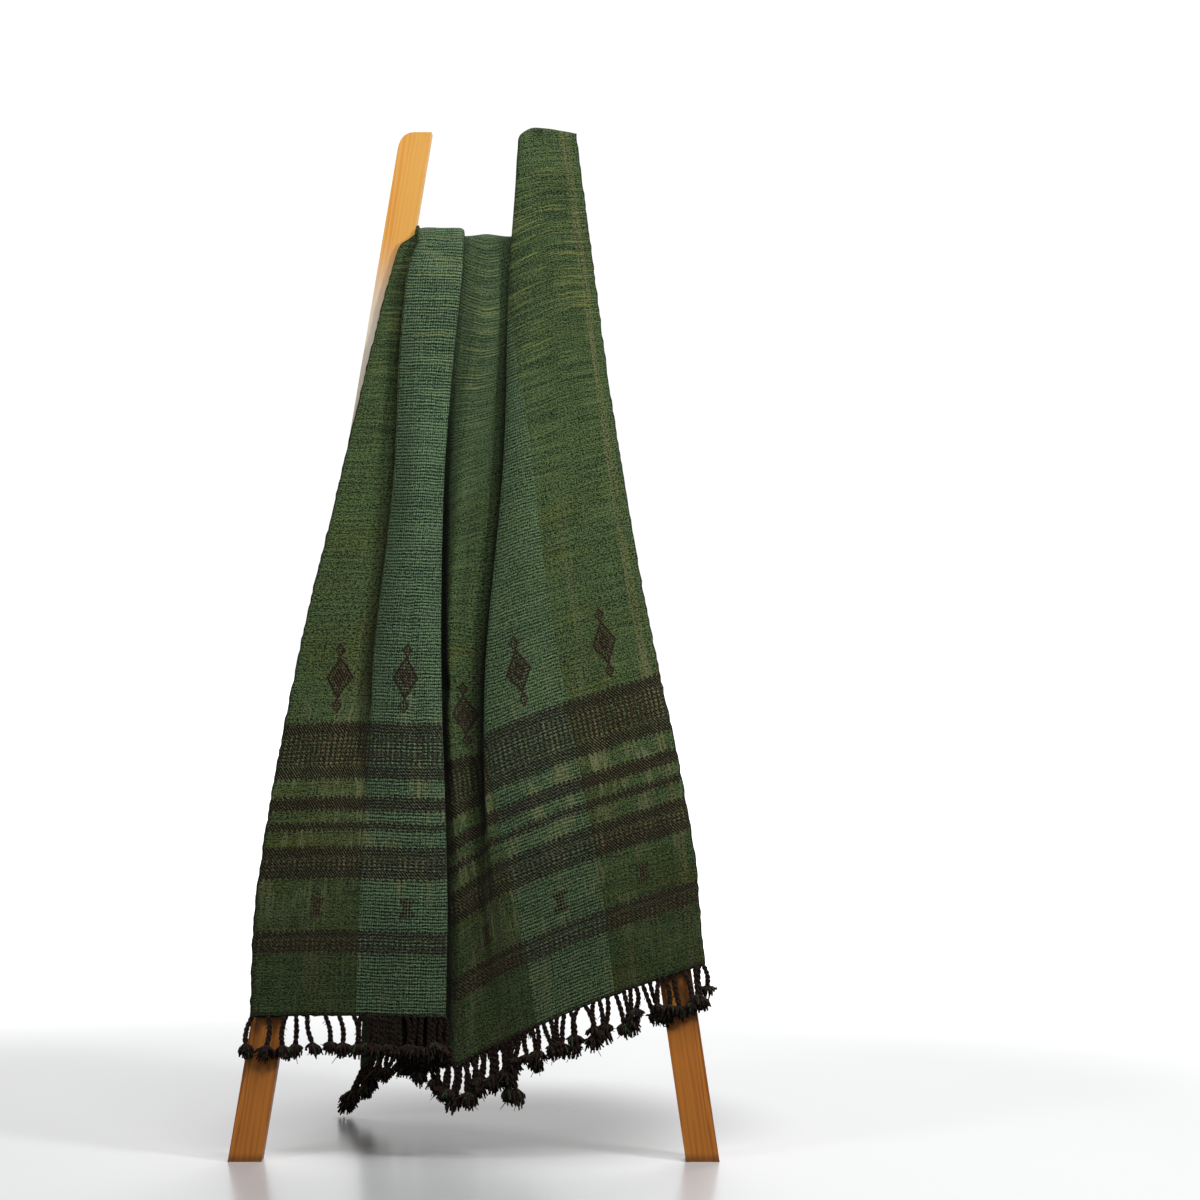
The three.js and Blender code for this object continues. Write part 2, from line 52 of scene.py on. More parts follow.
# The ladder as built, in millimetres. RAIL_FOOT is from the ladder's middle to the middle of a
# foot. For each millimetre of height a rail comes in by RAIL_SPREAD and goes back by LEAN.
LADDER_HEIGHT = 1337
RAIL_FOOT = 286.5
RAIL_SPREAD = 0.1459
LEAN = 0.2493
LEAN_COS = 1 / math.sqrt(1 + LEAN * LEAN)
RAIL_DEPTH = 30

# The throw, in millimetres: its flat size and thickness, how far it hangs off the wood, and the
# radii of its bend over the rung and over the rail's end.
CLOTH_WIDTH = 715
CLOTH_LENGTH = 2210
CLOTH_THICKNESS = 2.2
CLEARANCE = 3.4
RUNG_BEND = RAIL_DEPTH / 2 + CLEARANCE
RAIL_BEND = 6
FRONT_SLOPE = math.pi - math.atan(LEAN)

# Where the turn over the top starts and ends along the throw, which goes from 0 at the front hem
# over 1 at the crest to 2 at the back hem.
CREST_START = 0.98
CREST_END = 1.02


def rows_under(columns, *rows):
    """Rows of values under named columns."""
    return [dict(zip(columns.split(), row)) for row in rows]


# Sections along the throw, from the front hem at 0 over the crest at 1 to the back hem at 2:
# how far each fold line lies from the ladder's middle, and how far the tuck is folded and the
# second pleat opened.
SECTIONS = rows_under(
    "at left tuck_edge fold1 pleat1 recess ridge ridge_edge pleat2 fold2 right tuck open",
    (  0.0,   -284, -153,   -37, -92, -22,  -8,   6,   16,   26,   291,    0,    1),
    ( 0.15, -279.5, -150,   -37, -90, -29, -17,  -4,    8,    3,   275,    0, 0.55),
    ( 0.43,   -235, -136,   -48, -98, -44, -36, -24,   34, 10.5, 213.5,   12,    0),
    ( 0.66,   -184, -113, -47.5, -84, -43, -24,   0,   66, 32.5,   172,   22,    0),
    ( 0.84,   -144, -107,   -36, -66, -33,  -2,  28,   80,   37,   146,   25,    0),
    ( 0.94,   -119,  -99,   -27, -52, -24,   3,  34,   81,   45,   132,   21,    0),
    (0.965,   -110,  -92, -26.5, -49, -23, 4.5,  36, 80.5, 46.5,   129, 19.5,    0),
    ( 0.98,    -91,  -86,   -26, -47, -22,   6,  38,   80,   48,   126,   18,    0),
    ( 1.02,    -88,  -86,   -26, -47, -22,   6,  38,   80,   48,   126,   18,    0),
    (  1.1,    -96,  -88,   -27, -50, -22,   6,  36,   79,   46,   134,   18,    0),
    (  1.5,   -142, -100,   -34, -66, -26,   0,  24,   62,   36,   176,   14,    0),
    (  2.0,   -168,  -92,   -22, -60, -14,   4,  26,   42,   54,   206,    4,  0.9),
)

# How far each layer stands off the ladder at the same sections.
DEPTHS = rows_under(
    "  at  low  middle  left  tuck_edge  crown  fold1  recess  ridge  fold2  panel  swell  right",
    ( 0.0,   0,      8,    5,         9,    19,    20,      2,     4,     8,    15,     9,     5),
    (0.15,   0,      8,    5,        10,    24,    22,      2,     3,    14,    19,    12,     5),
    (0.43,   0,      8,    4,        15,    30,    24,      2,     9,    16,    22,    11,     5),
    (0.66,   0,      8,    4,        16,    31,    24,      6,    20,    16,    21,    13,     4),
    (0.84,   0,    7.5,    2,        15,    25,    20,      7,    17,    16,    19,    11,     3),
    (0.94,   0,    6.5,    1,        13,    17,    15,      5,     9,    13,    11,     6,     2),
    (0.98,   0,      5,    0,        10,    11,    10,      0,     2,    10,     4,     2,     1),
    (1.02,   0,      5,    0,        10,    11,    10,      0,     2,    10,     4,     2,     1),
    ( 1.1,   0,      6,    2,        12,    14,    12,      4,     6,    12,     6,     4,     2),
    ( 1.5,   0,      8,    8,        16,    25,    18,      8,    14,    16,    16,     8,    10),
    ( 2.0,   0,      8,   16,        18,    24,    19,      6,    10,    12,    18,     4,    12),
)

# Heights across the width: the front hem, the crest and the back hem. on_rail is 0 over the
# rung and 1 over the end of the right rail.
HEIGHTS = rows_under(
    "across  front_hem   crest  back_hem  on_rail",
    (     0,       176,   1208,       60,       0),
    (    14,     176.5,   1197,       72,       0),
    (    26,       177,   1193,       80,       0),
    (    60,       178,   1193,       96,       0),
    (   131,       179,   1193,      106,       0),
    (   243,       177,   1193,      114,       0),
    (   300,       164,   1193,      118,       0),
    (   360,       116,   1193,      122,       0),
    (   395,       135,   1193,      130,       0),
    (   440,       153,   1190,      150,       0),
    (   490,       173,   1195,      178,    0.02),
    (   560,       197,   1260,      228,     0.5),
    (   636,       219,   1318,      285,       1),
    (   656,     224.5,   1339,    294.5,       1),
    (   680,       231, 1339.5,      306,       1),
    (   715,       241,   1333,      322,       1),
)

# Where the fold lines lie on the flat cloth, from the left selvedge.
FOLD_LINES = rows_under(
    "  at  tuck_edge  fold1  pleat1  recess  pleat2  fold2",
    ( 0.0,       131,   243,    301,    360,    404,   414),
    (0.15,       131,   240,    300,    363,    412,   424),
    (0.43,       131,   227,    305,    385,    462,   486),
    (0.66,       131,   207,    284,    362,    488,   545),
    (0.84,       131,   202,    276,    350,    497,   588),
    ( 1.0,       131,   205,    278,    350,    490,   636),
    ( 1.5,       131,   210,    280,    352,    470,   560),
    ( 2.0,       131,   230,    292,    356,    424,   440),
)


def mix(a, b, t):
    return a + (b - a) * t


def clamp(value, low=0.0, high=1.0):
    return max(low, min(high, value))


def row_before(table, key, at):
    row = 0
    while row < len(table) - 2 and at > table[row + 1][key]:
        row += 1
    return row


def smooth(table, name, at, key="at"):
    """A smooth curve down one column of a table."""
    row = row_before(table, key, at)
    a, b = table[row], table[row + 1]
    before = table[max(0, row - 1)]
    after = table[min(len(table) - 1, row + 2)]
    span = b[key] - a[key]
    t = clamp((at - a[key]) / span)
    slope_a = span * (b[name] - before[name]) / (b[key] - before[key])
    slope_b = span * (after[name] - a[name]) / (after[key] - a[key])
    t2, t3 = t * t, t * t * t
    return ((2 * t3 - 3 * t2 + 1) * a[name] + (t3 - 2 * t2 + t) * slope_a
            + (3 * t2 - 2 * t3) * b[name] + (t3 - t2) * slope_b)


def straight(table, name, at, key):
    row = row_before(table, key, at)
    a, b = table[row], table[row + 1]
    return mix(a[name], b[name], clamp((at - a[key]) / (b[key] - a[key])))


def turn(tip, side, depth_in, depth_out, across_in, across_tip, across_out):
    """The cloth comes in at one depth, rounds the tip and goes back at another."""
    radius = abs(depth_out - depth_in) / 2
    back = tip - side * radius * 1.2
    return [(back, depth_in, across_in), (tip, (depth_in + depth_out) / 2, across_tip),
            (back, depth_out, across_out)]


def unfold(points, start, end, share):
    """Moves a run of points towards an even row between its two ends."""
    flat = []
    for i, point in enumerate(points):
        t = (i + 1) / (len(points) + 1)
        flat.append(tuple(mix(p, mix(a, b, t), share) for p, a, b in zip(point, start, end)))
    return flat


def section(at):
    """Points across the throw: (x, depth off the ladder, distance across the flat cloth)."""
    s = {name: smooth(SECTIONS, name, at) for name in SECTIONS[0] if name != "at"}
    d = {name: smooth(DEPTHS, name, at) for name in DEPTHS[0] if name != "at"}
    f = {name: smooth(FOLD_LINES, name, at) for name in FOLD_LINES[0] if name != "at"}
    tuck = max(0.0, s["tuck"])
    tuck_open = clamp(1 - tuck / 12)
    edge = f["tuck_edge"]
    left = (s["left"], d["left"], 0.0)
    strip = (mix(s["left"], s["tuck_edge"], 0.5), d["left"] + 2 * tuck_open, edge * 0.42)
    crown = (mix(s["tuck_edge"], s["fold1"], 0.5), d["crown"], mix(edge, f["fold1"], 0.5))
    folded_tuck = (
        turn(s["tuck_edge"] + tuck, 1, d["low"], d["middle"], edge * 0.66, edge * 0.76,
             edge * 0.84)
        + turn(s["tuck_edge"], -1, d["middle"], d["tuck_edge"], edge * 0.9, edge * 0.97,
               edge * 1.04))
    pleat = (
        turn(s["fold1"], 1, d["fold1"], d["middle"], f["fold1"] - 6, f["fold1"], f["fold1"] + 6)
        + turn(s["pleat1"], -1, d["middle"], d["low"], f["pleat1"] - 5, f["pleat1"],
               f["pleat1"] + 5))
    hollow = (s["recess"], d["recess"], f["recess"])
    ridge = (s["ridge"], d["ridge"], mix(f["recess"], f["pleat2"], 0.22))
    flank = (s["ridge_edge"], mix(d["ridge"], d["low"], 0.8), mix(f["recess"], f["pleat2"], 0.48))

    def panel(share, depth):
        return (mix(s["fold2"], s["right"], share), depth, mix(f["fold2"], CLOTH_WIDTH, share))

    first = panel(0.22, d["panel"])
    folded_pleat = (
        turn(s["pleat2"], 1, d["low"], d["middle"], f["pleat2"] - 5, f["pleat2"],
             f["pleat2"] + 5)
        + turn(s["fold2"], -1, d["middle"], d["fold2"], f["fold2"] - 6, f["fold2"],
               f["fold2"] + 6))
    return evenly_woven(
        [left, strip, *unfold(folded_tuck, strip, crown, tuck_open), crown, *pleat, hollow,
         ridge, flank, *unfold(folded_pleat, flank, first, clamp(s["open"])), first,
         panel(0.42, mix(d["panel"], d["swell"], 0.6)), panel(0.62, d["swell"]),
         panel(0.82, mix(d["swell"], d["right"], 0.4)), (s["right"], d["right"], CLOTH_WIDTH)])


# Points of a section whose place on the flat cloth is known: the left selvedge, the edge of the
# tuck, the tips of the two pleats, the recess and the right selvedge.
KNOWN_POINTS = [0, 6, 10, 13, 15, 19, 22, 28]


def evenly_woven(points):
    """Spreads the cloth by its length along the section between the known points."""
    woven = list(points)
    for first, last in zip(KNOWN_POINTS, KNOWN_POINTS[1:]):
        steps = [math.hypot(points[i + 1][0] - points[i][0], points[i + 1][1] - points[i][1])
                 for i in range(first, last)]
        run = 0.0
        for i in range(first + 1, last):
            run += steps[i - 1 - first]
            across = mix(points[first][2], points[last][2], run / sum(steps))
            woven[i] = (points[i][0], points[i][1], across)
    return woven


def place(x, depth, across, at):
    """Puts a section's point in space, with its distance along the cloth from the front hem."""
    h = {name: straight(HEIGHTS, name, across, "across")
         for name in ("front_hem", "crest", "back_hem", "on_rail")}
    bend = mix(RUNG_BEND, RAIL_BEND, h["on_rail"])
    reach = bend + depth
    centre_z = h["crest"] - bend
    front_y = LEAN * centre_z + (bend - CLEARANCE) / LEAN_COS
    behind_rail = LEAN * LADDER_HEIGHT + RAIL_DEPTH / LEAN_COS + CLEARANCE - RAIL_BEND
    back_y = mix(front_y, behind_rail, h["on_rail"])
    start_z = centre_z + reach * math.sin(FRONT_SLOPE)
    front_length = (start_z - h["front_hem"]) / LEAN_COS
    front_arc = reach * (FRONT_SLOPE - math.pi / 2)
    flat = back_y - front_y
    crest_length = front_arc + flat + reach * math.pi / 2
    if at < CREST_START:
        t = at / CREST_START
        z = mix(h["front_hem"], start_z, t)
        return Vector((x, LEAN * z - (CLEARANCE + depth) / LEAN_COS, z)), front_length * t
    if at > CREST_END:
        t = (at - CREST_END) / (2 - CREST_END)
        along = mix(front_length + crest_length, CLOTH_LENGTH, t)
        return Vector((x, back_y + reach, mix(centre_z, h["back_hem"], t))), along
    run = (at - CREST_START) / (CREST_END - CREST_START) * crest_length
    if run < front_arc:
        angle = FRONT_SLOPE - run / reach
        centre_y = front_y
    elif run < front_arc + flat:
        return Vector((x, front_y + run - front_arc, centre_z + reach)), front_length + run
    else:
        angle = math.pi / 2 - (run - front_arc - flat) / reach
        centre_y = back_y
    point = Vector((x, centre_y + reach * math.cos(angle), centre_z + reach * math.sin(angle)))
    return point, front_length + run


def centripetal(p0, p1, p2, p3, t):
    """A point between p1 and p2 on a centripetal curve, as on the CAD throw."""
    d0 = max(1e-4, (p1 - p0).length ** 0.5)
    d1 = max(1e-4, (p2 - p1).length ** 0.5)
    d2 = max(1e-4, (p3 - p2).length ** 0.5)
    m1 = ((p1 - p0) / d0 - (p2 - p0) / (d0 + d1) + (p2 - p1) / d1) * d1
    m2 = ((p2 - p1) / d1 - (p3 - p1) / (d1 + d2) + (p3 - p2) / d2) * d1
    t2, t3 = t * t, t * t * t
    return (p1 * (2 * t3 - 3 * t2 + 1) + m1 * (t3 - 2 * t2 + t)
            + p2 * (3 * t2 - 2 * t3) + m2 * (t3 - t2))


class ClothLine:
    """The line across the throw at one section."""

    def __init__(self, at):
        self.section = section(at)
        placed = [place(x, depth, across, at) for x, depth, across in self.section]
        self.points = [point for point, along in placed]
        self.along = [along for point, along in placed]
        self.across = [across for x, depth, across in self.section]
        self.points.insert(0, self.points[0] * 2 - self.points[1])
        self.points.append(self.points[-1] * 2 - self.points[-2])

    def at_place(self, place_on_line):
        last = len(self.across) - 1
        i = min(int(place_on_line), last - 1)
        t = place_on_line - i
        point = centripetal(*self.points[i:i + 4], t)
        return point, mix(self.across[i], self.across[i + 1], t), mix(self.along[i],
                                                                     self.along[i + 1], t)

    def place_of(self, across):
        i = 0
        while i < len(self.across) - 2 and self.across[i + 1] < across:
            i += 1
        return i + clamp((across - self.across[i]) / (self.across[i + 1] - self.across[i]))


def to_frame(point):
    """Millimetres in the ladder's own place to metres in the frame."""
    return Vector((point.x * MM, point.y * MM + FEET_FRONT, point.z * MM))


# Soft creases and bulges laid on the throw: from one place on the cloth to another,
# as distance across and share of the way along, with half width and height in millimetres.
CREASES = rows_under(
    "across0   at0  across1   at1  width  height",
    (     62, 0.93,      40, 0.62,    11,   -3.0),
    (     95, 0.80,      78, 0.30,    14,    2.2),
    (    118, 0.62,     122, 0.22,     8,   -3.6),
    (    172, 0.52,     196, 0.33,     6,   -5.0),
    (    150, 0.30,     176, 0.02,    26,    2.2),
    (     60, 0.26,      86, 0.01,    30,    1.8),
    (    214, 0.26,     226,  0.0,    14,   -2.0),
    (    378, 0.44,     452, 0.37,     9,   -4.0),
    (    384, 0.98,     372, 0.72,     9,    2.4),
    (    640, 0.90,     560, 0.40,    16,   -2.6),
    (    690, 0.80,     640, 0.20,    20,    1.8),
    (    470, 0.28,     500,  0.0,    24,   -2.8),
    (    590, 0.30,     612,  0.0,    26,    2.4),
    (    665, 0.18,     672,  0.0,    14,   -2.0),
    (     60, 1.20,      80, 1.95,    22,    3.0),
    (    185, 1.12,     170, 1.98,    24,   -3.0),
    (    600, 1.10,     540, 1.95,    26,   -3.5),
)
# Share of its length over which a crease fades out past each end.
CREASE_FADE = 0.15


def crease_height(across, at):
    total = 0.0
    for c in CREASES:
        start = Vector((c["across0"], c["at0"] * 1000))
        end = Vector((c["across1"], c["at1"] * 1000))
        here = Vector((across, at * 1000))
        way = end - start
        t = (here - start).dot(way) / way.length_squared
        if -CREASE_FADE < t < 1 + CREASE_FADE:
            off = abs(here.x - mix(start.x, end.x, t)) / c["width"]
            rise = clamp((t + CREASE_FADE) / (2 * CREASE_FADE))
            fall = clamp((1 + CREASE_FADE - t) / (2 * CREASE_FADE))
            total += c["height"] * math.exp(-off * off) * (rise * fall)
    return total


def handling(across, at):
    """The uneven surface of a hand-woven cloth, in millimetres."""
    slow = noise.noise(Vector((across / 55, at * 9.0, 3.7)))
    quick = noise.noise(Vector((across / 17, at * 30.0, 9.1)))
    return 1.3 * slow + 0.45 * quick


# How finely the sheet is divided: across, and along the front fall, the turn and the back fall.
COLUMNS = 168
ROWS_FRONT = 150
ROWS_CREST = 14
ROWS_BACK = 100


def row_places():
    rows = [CREST_START * i / ROWS_FRONT for i in range(ROWS_FRONT)]
    rows += [mix(CREST_START, CREST_END, i / ROWS_CREST) for i in range(ROWS_CREST)]
    rows += [mix(CREST_END, 2, i / ROWS_BACK) for i in range(ROWS_BACK + 1)]
    return rows


def column_places():
    """Columns a like distance apart along the fold, so that turns get as many as they need."""
    line = ClothLine(0.6)
    fine = 24
    last = len(line.across) - 1
    marks = [line.at_place(i / fine)[0] for i in range(last * fine + 1)]
    lengths = [0.0]
    for i in range(1, len(marks)):
        share = 0.55 * (marks[i] - marks[i - 1]).length + 0.45 * 26 / fine
        lengths.append(lengths[-1] + share)
    places = []
    i = 0
    for k in range(COLUMNS):
        target = lengths[-1] * k / (COLUMNS - 1)
        while i < len(lengths) - 2 and lengths[i + 1] < target:
            i += 1
        t = clamp((target - lengths[i]) / (lengths[i + 1] - lengths[i]))
        places.append((i + t) / fine)
    return places


def new_object(name, bm, materials=()):
    mesh = bpy.data.meshes.new(name)
    bm.to_mesh(mesh)
    bm.free()
    obj = bpy.data.objects.new(name, mesh)
    bpy.context.collection.objects.link(obj)
    for material in materials:
        mesh.materials.append(material)
    for polygon in mesh.polygons:
        polygon.use_smooth = True
    return obj


def build_throw(material):
    """One thin sheet over the rung and the rail end, with its own map in metres."""
    rows = row_places()
    columns = column_places()
    bm = bmesh.new()
    bmesh.ops.create_grid(bm, x_segments=COLUMNS - 1, y_segments=len(rows) - 1, size=1)
    bm.verts.ensure_lookup_table()
    grid = []
    for at in rows:
        line = ClothLine(at)
        grid.append([line.at_place(place_on_line) for place_on_line in columns])
    uv = bm.loops.layers.uv.new("cloth")
    # open_to_room keeps how open each point is to the room; the wool reads it for its painted fold
    # shade.
    open_to_room = bm.verts.layers.float.new("open_to_room")
    rng = random.Random(5)
    wander = [(rng.uniform(-0.9, 0.9), rng.uniform(-0.9, 0.9)) for _ in rows]
    flat = {}
    for i, at in enumerate(rows):
        line = [point for point, across, along in grid[i]]
        if at < 1:
            off = [(LEAN * point.z - point.y) * LEAN_COS for point in line]
        else:
            off = [point.y for point in line]
        shares = openness(line, off)
        for j in range(COLUMNS):
            point, across, along = grid[i][j]
            way_along = grid[min(i + 1, len(rows) - 1)][j][0] - grid[max(i - 1, 0)][j][0]
            way_across = grid[i][min(j + 1, COLUMNS - 1)][0] - grid[i][max(j - 1, 0)][0]
            normal = way_across.cross(way_along).normalized()
            hidden = 0.25 if depth_is_tight(columns[j], at) else 1.0
            lift = (crease_height(across, at) + handling(across, at)) * hidden
            moved = point + normal * lift
            if i == 0:
                moved = moved + (way_along * -1).normalized() * noise.noise((across / 7, 2, 5)) * 2
            if j == 0:
                moved = moved + way_across.normalized() * wander[i][0]
            if j == COLUMNS - 1:
                moved = moved + way_across.normalized() * wander[i][1]
            vert = bm.verts[i * COLUMNS + j]
            vert.co = to_frame(moved)
            vert[open_to_room] = shares[j]
            flat[vert] = (across * MM, (along + sag(across, at)) * MM)
    for face in bm.faces:
        for loop in face.loops:
            loop[uv].uv = flat[loop.vert]
    bmesh.ops.recalc_face_normals(bm, faces=bm.faces)
    throw = new_object("woven_throw", bm, [material])
    thick = throw.modifiers.new("thickness", "SOLIDIFY")
    thick.thickness = CLOTH_THICKNESS * MM
    thick.offset = 0
    thick.use_rim = True
    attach(throw, BODY)
    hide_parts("throw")
    return throw


# Where the weft runs lower than straight across, as pulled by the gathers: the place it is
# deepest, how far it reaches to each side, and where along the throw it starts, is full and ends.
SAGS = rows_under(
    "across  left  right  depth   low  full  high",
    (   425,  135,   260,    48,  0.6, 0.92,  1.4),
    (   740,  115,    10,    21, 0.55, 0.88,  1.4),
    (   452,   80,    30,    30, 0.24, 0.45, 0.68),
)


def sag(across, at):
    total = 0.0
    for row in SAGS:
        reach = row["left"] if across < row["across"] else row["right"]
        off = clamp(abs(across - row["across"]) / reach)
        end = row["low"] if at < row["full"] else row["high"]
        near = clamp((at - end) / (row["full"] - end))
        share = near * near * (3 - 2 * near)
        total += row["depth"] * (0.5 + 0.5 * math.cos(math.pi * off)) * share
    return total


def depth_is_tight(place_on_line, at):
    """True for the layers that lie folded behind others, where there is little room."""
    in_tuck = 1.5 < place_on_line < 7.5 and at > 0.33
    in_pleat1 = 9.6 < place_on_line < 14.6
    in_pleat2 = 17.2 < place_on_line < 22.6 and at > 0.1
    return in_tuck or in_pleat1 or in_pleat2


# How far to each side the folds beside a point are taken to shade it.
SHADE_REACH = 70


def openness(line, off):
    """How much of the room each point of a row of the cloth faces, from 0 to 1, when it looks
    along the row to both sides. off is how far each point stands off the ladder."""
    shares = []
    for i, point in enumerate(line):
        walls = [0.0, 0.0]
        for k, other in enumerate(line):
            beside = other.x - point.x
            if abs(beside) < SHADE_REACH and off[k] > off[i] + 0.5:
                rise = (off[k] - off[i]) / (abs(beside) + 1.5)
                side = 0 if beside < 0 else 1
                walls[side] = max(walls[side], rise)
        shares.append(sum(1 / math.sqrt(1 + wall * wall) for wall in walls) / 2)
    return shares


def colour(red, green, blue):
    """A colour as seen on screen, 0 to 255, in the renderer's own values."""
    def linear(value):
        share = value / 255
        return share / 12.92 if share <= 0.04045 else ((share + 0.055) / 1.055) ** 2.4
    return (linear(red), linear(green), linear(blue), 1)


class Recipe:
    """Writes a material as a short list of steps."""

    def __init__(self, name, roughness):
        self.material = bpy.data.materials.new(name)
        self.material.use_nodes = True
        self.tree = self.material.node_tree
        self.shader = self.tree.nodes["Principled BSDF"]
        self.shader.inputs["Roughness"].default_value = roughness

    def put(self, socket, value):
        if isinstance(value, bpy.types.NodeSocket):
            self.tree.links.new(value, socket)
        else:
            socket.default_value = value

    def sum(self, kind, a, b=0.0, c=0.0):
        node = self.tree.nodes.new("ShaderNodeMath")
        node.operation = kind
        for socket, value in zip(node.inputs, (a, b, c)):
            self.put(socket, value)
        return node.outputs[0]

    def add(self, a, b):
        return self.sum("ADD", a, b)

    def less(self, a, b):
        return self.sum("SUBTRACT", a, b)

    def times(self, a, b):
        return self.sum("MULTIPLY", a, b)

    def between(self, value, low, high):
        """1 where the value lies between the two, else 0."""
        return self.times(self.sum("GREATER_THAN", value, low), self.sum("LESS_THAN", value, high))

    def size_of(self, value):
        return self.sum("ABSOLUTE", value)

    def either(self, a, b):
        return self.sum("MAXIMUM", a, b)

    def ease(self, value, low, high, start=0.0, end=1.0):
        node = self.tree.nodes.new("ShaderNodeMapRange")
        node.interpolation_type = "SMOOTHSTEP"
        for name, setting in (("Value", value), ("From Min", low), ("From Max", high),
                              ("To Min", start), ("To Max", end)):
            self.put(node.inputs[name], setting)
        return node.outputs["Result"]

    def wave(self, value, period, offset=0.0):
        """An even wave between 0 and 1."""
        turns = self.times(self.add(value, offset), 2 * math.pi / period)
        return self.sum("MULTIPLY_ADD", self.sum("SINE", turns), 0.5, 0.5)

    def zigzag(self, value, period, offset=0.0):
        """0 at every period and 1 half way between."""
        return self.times(self.sum("PINGPONG", self.add(value, offset), period / 2), 2 / period)

    def from_centre(self, value, first, period):
        """Distance from the nearest of a row of places."""
        moved = self.add(value, period * 20 - first + period / 2)
        return self.less(self.sum("MODULO", moved, period), period / 2)

    def at(self, x, y, z=0.0):
        node = self.tree.nodes.new("ShaderNodeCombineXYZ")
        for socket, value in zip(node.inputs, (x, y, z)):
            self.put(socket, value)
        return node.outputs[0]

    def speckle(self, place_in_space, scale, detail=2.0, rough=0.5):
        node = self.tree.nodes.new("ShaderNodeTexNoise")
        self.put(node.inputs["Vector"], place_in_space)
        node.inputs["Scale"].default_value = scale
        node.inputs["Detail"].default_value = detail
        node.inputs["Roughness"].default_value = rough
        return node.outputs[0]

    def blend(self, share, a, b):
        node = self.tree.nodes.new("ShaderNodeMix")
        node.data_type = "RGBA"
        self.put(node.inputs[0], share)
        self.put(node.inputs[6], a)
        self.put(node.inputs[7], b)
        return node.outputs[2]

    def steps(self, value, rows):
        """Even steps down a table of (start, red, green, blue)."""
        node = self.tree.nodes.new("ShaderNodeValToRGB")
        ramp = node.color_ramp
        ramp.interpolation = "CONSTANT"
        while len(ramp.elements) > 1:
            ramp.elements.remove(ramp.elements[-1])
        for i, row in enumerate(rows):
            stop = ramp.elements[0] if i == 0 else ramp.elements.new(row[0])
            stop.position = row[0]
            stop.color = (row[1], row[2], row[3], 1)
        self.put(node.inputs[0], value)
        apart = self.tree.nodes.new("ShaderNodeSeparateColor")
        self.tree.links.new(node.outputs[0], apart.inputs[0])
        return apart.outputs[0], apart.outputs[1], apart.outputs[2]

    def parts(self, kind):
        """The piece's own map, or its place in space, as separate distances."""
        if kind == "map":
            node = self.tree.nodes.new("ShaderNodeUVMap")
            node.uv_map = "cloth"
            out = node.outputs[0]
        else:
            node = self.tree.nodes.new("ShaderNodeTexCoord")
            out = node.outputs["Object"]
        apart = self.tree.nodes.new("ShaderNodeSeparateXYZ")
        self.tree.links.new(out, apart.inputs[0])
        return apart.outputs

    def kept(self, name):
        """A value kept at each point of the piece."""
        node = self.tree.nodes.new("ShaderNodeAttribute")
        node.attribute_name = name
        return node.outputs["Fac"]

    def raise_by(self, height, distance, strength=1.0):
        node = self.tree.nodes.new("ShaderNodeBump")
        node.inputs["Distance"].default_value = distance
        node.inputs["Strength"].default_value = strength
        self.put(node.inputs["Height"], height)
        self.tree.links.new(node.outputs[0], self.shader.inputs["Normal"])

    def finish(self, base):
        self.put(self.shader.inputs["Base Color"], base)
        return self.material


# The teal stripes along the throw, from and to across the cloth from the left selvedge.
TEAL_STRIPES = [(131, 243), (472, 584)]

# The woven rows, each from its start, in millimetres from either hem, to the next one. share: how
# much of the row is dark yarn; slanted: 1 for slanted hatching and 0 for upright dashes; line: 1
# for a light weft line.
BANDS = rows_under(
    "start  share  slanted  line",
    (    0,     0,       0,    0),
    (   80,  0.78,       0,    0),
    (   86,   0.5,       0,    1),
    ( 87.4,  0.72,       0,    0),
    (   97,   0.5,       1,    1),
    ( 98.4,  0.95,       1,    0),
    (  107,     0,       0,    0),
    (  173,   0.9,       1,    0),
    (  184,   0.6,       0,    1),
    (185.4,   0.7,       0,    0),
    (  198,   0.6,       0,    1),
    (199.4,  0.92,       1,    0),
    (  213,     0,       0,    0),
    (234.5,  0.94,       1,    0),
    (  246,     0,       0,    0),
    (261.5,  0.97,       1,    0),
    (277.5,     0,       0,    0),
    (  301,  0.88,       1,    0),
    (  320,   0.5,       0,    1),
    (321.4,  0.68,       0,    0),
    (  340,   0.5,       0,    1),
    (341.4,  0.66,       0,    0),
    (  360,  0.95,       1,    0),
    (  376,     0,       0,    0),
)
# The length that the table above is spread over, and how far apart the bands' teeth stand.
BANDS_END = 500
TOOTH = 6.6
# Diamonds and hourglasses: the first one from the left selvedge, how far apart they stand, and
# how far their rows lie from either hem.
DIAMONDS = (60, 117.5)
HOURGLASSES = (77, 113)
DIAMOND_ROW = 437
HOURGLASS_ROW = 138

# The dyes, as seen on screen, with the colours of the painted shade near the crest, near the hems
# and in the folds.
DYES = {
    "olive_dark": (5, 14, 6), "olive_light": (116, 146, 90),
    "moss_dark": (14, 17, 4), "moss_light": (124, 130, 56),
    "teal_dark": (10, 28, 20), "teal_light": (146, 184, 136),
    "brown_dark": (13, 10, 8), "brown_light": (118, 96, 68),
    "brown_in_teal_dark": (16, 14, 12), "brown_in_teal_light": (132, 132, 104),
    "pale_streak_and_glare": (142, 144, 94), "patch": (150, 156, 108), "speck": (150, 152, 96),
    "thread": (158, 154, 84), "cool_thread": (36, 74, 50), "light_line": (104, 100, 74),
    "painted_top_shade": (6, 14, 6), "painted_hem_shade": (10, 15, 0), "painted_fold_shade": (6, 9, 5),
    "selvedge": (34, 28, 24), "hem": (38, 30, 26),
}


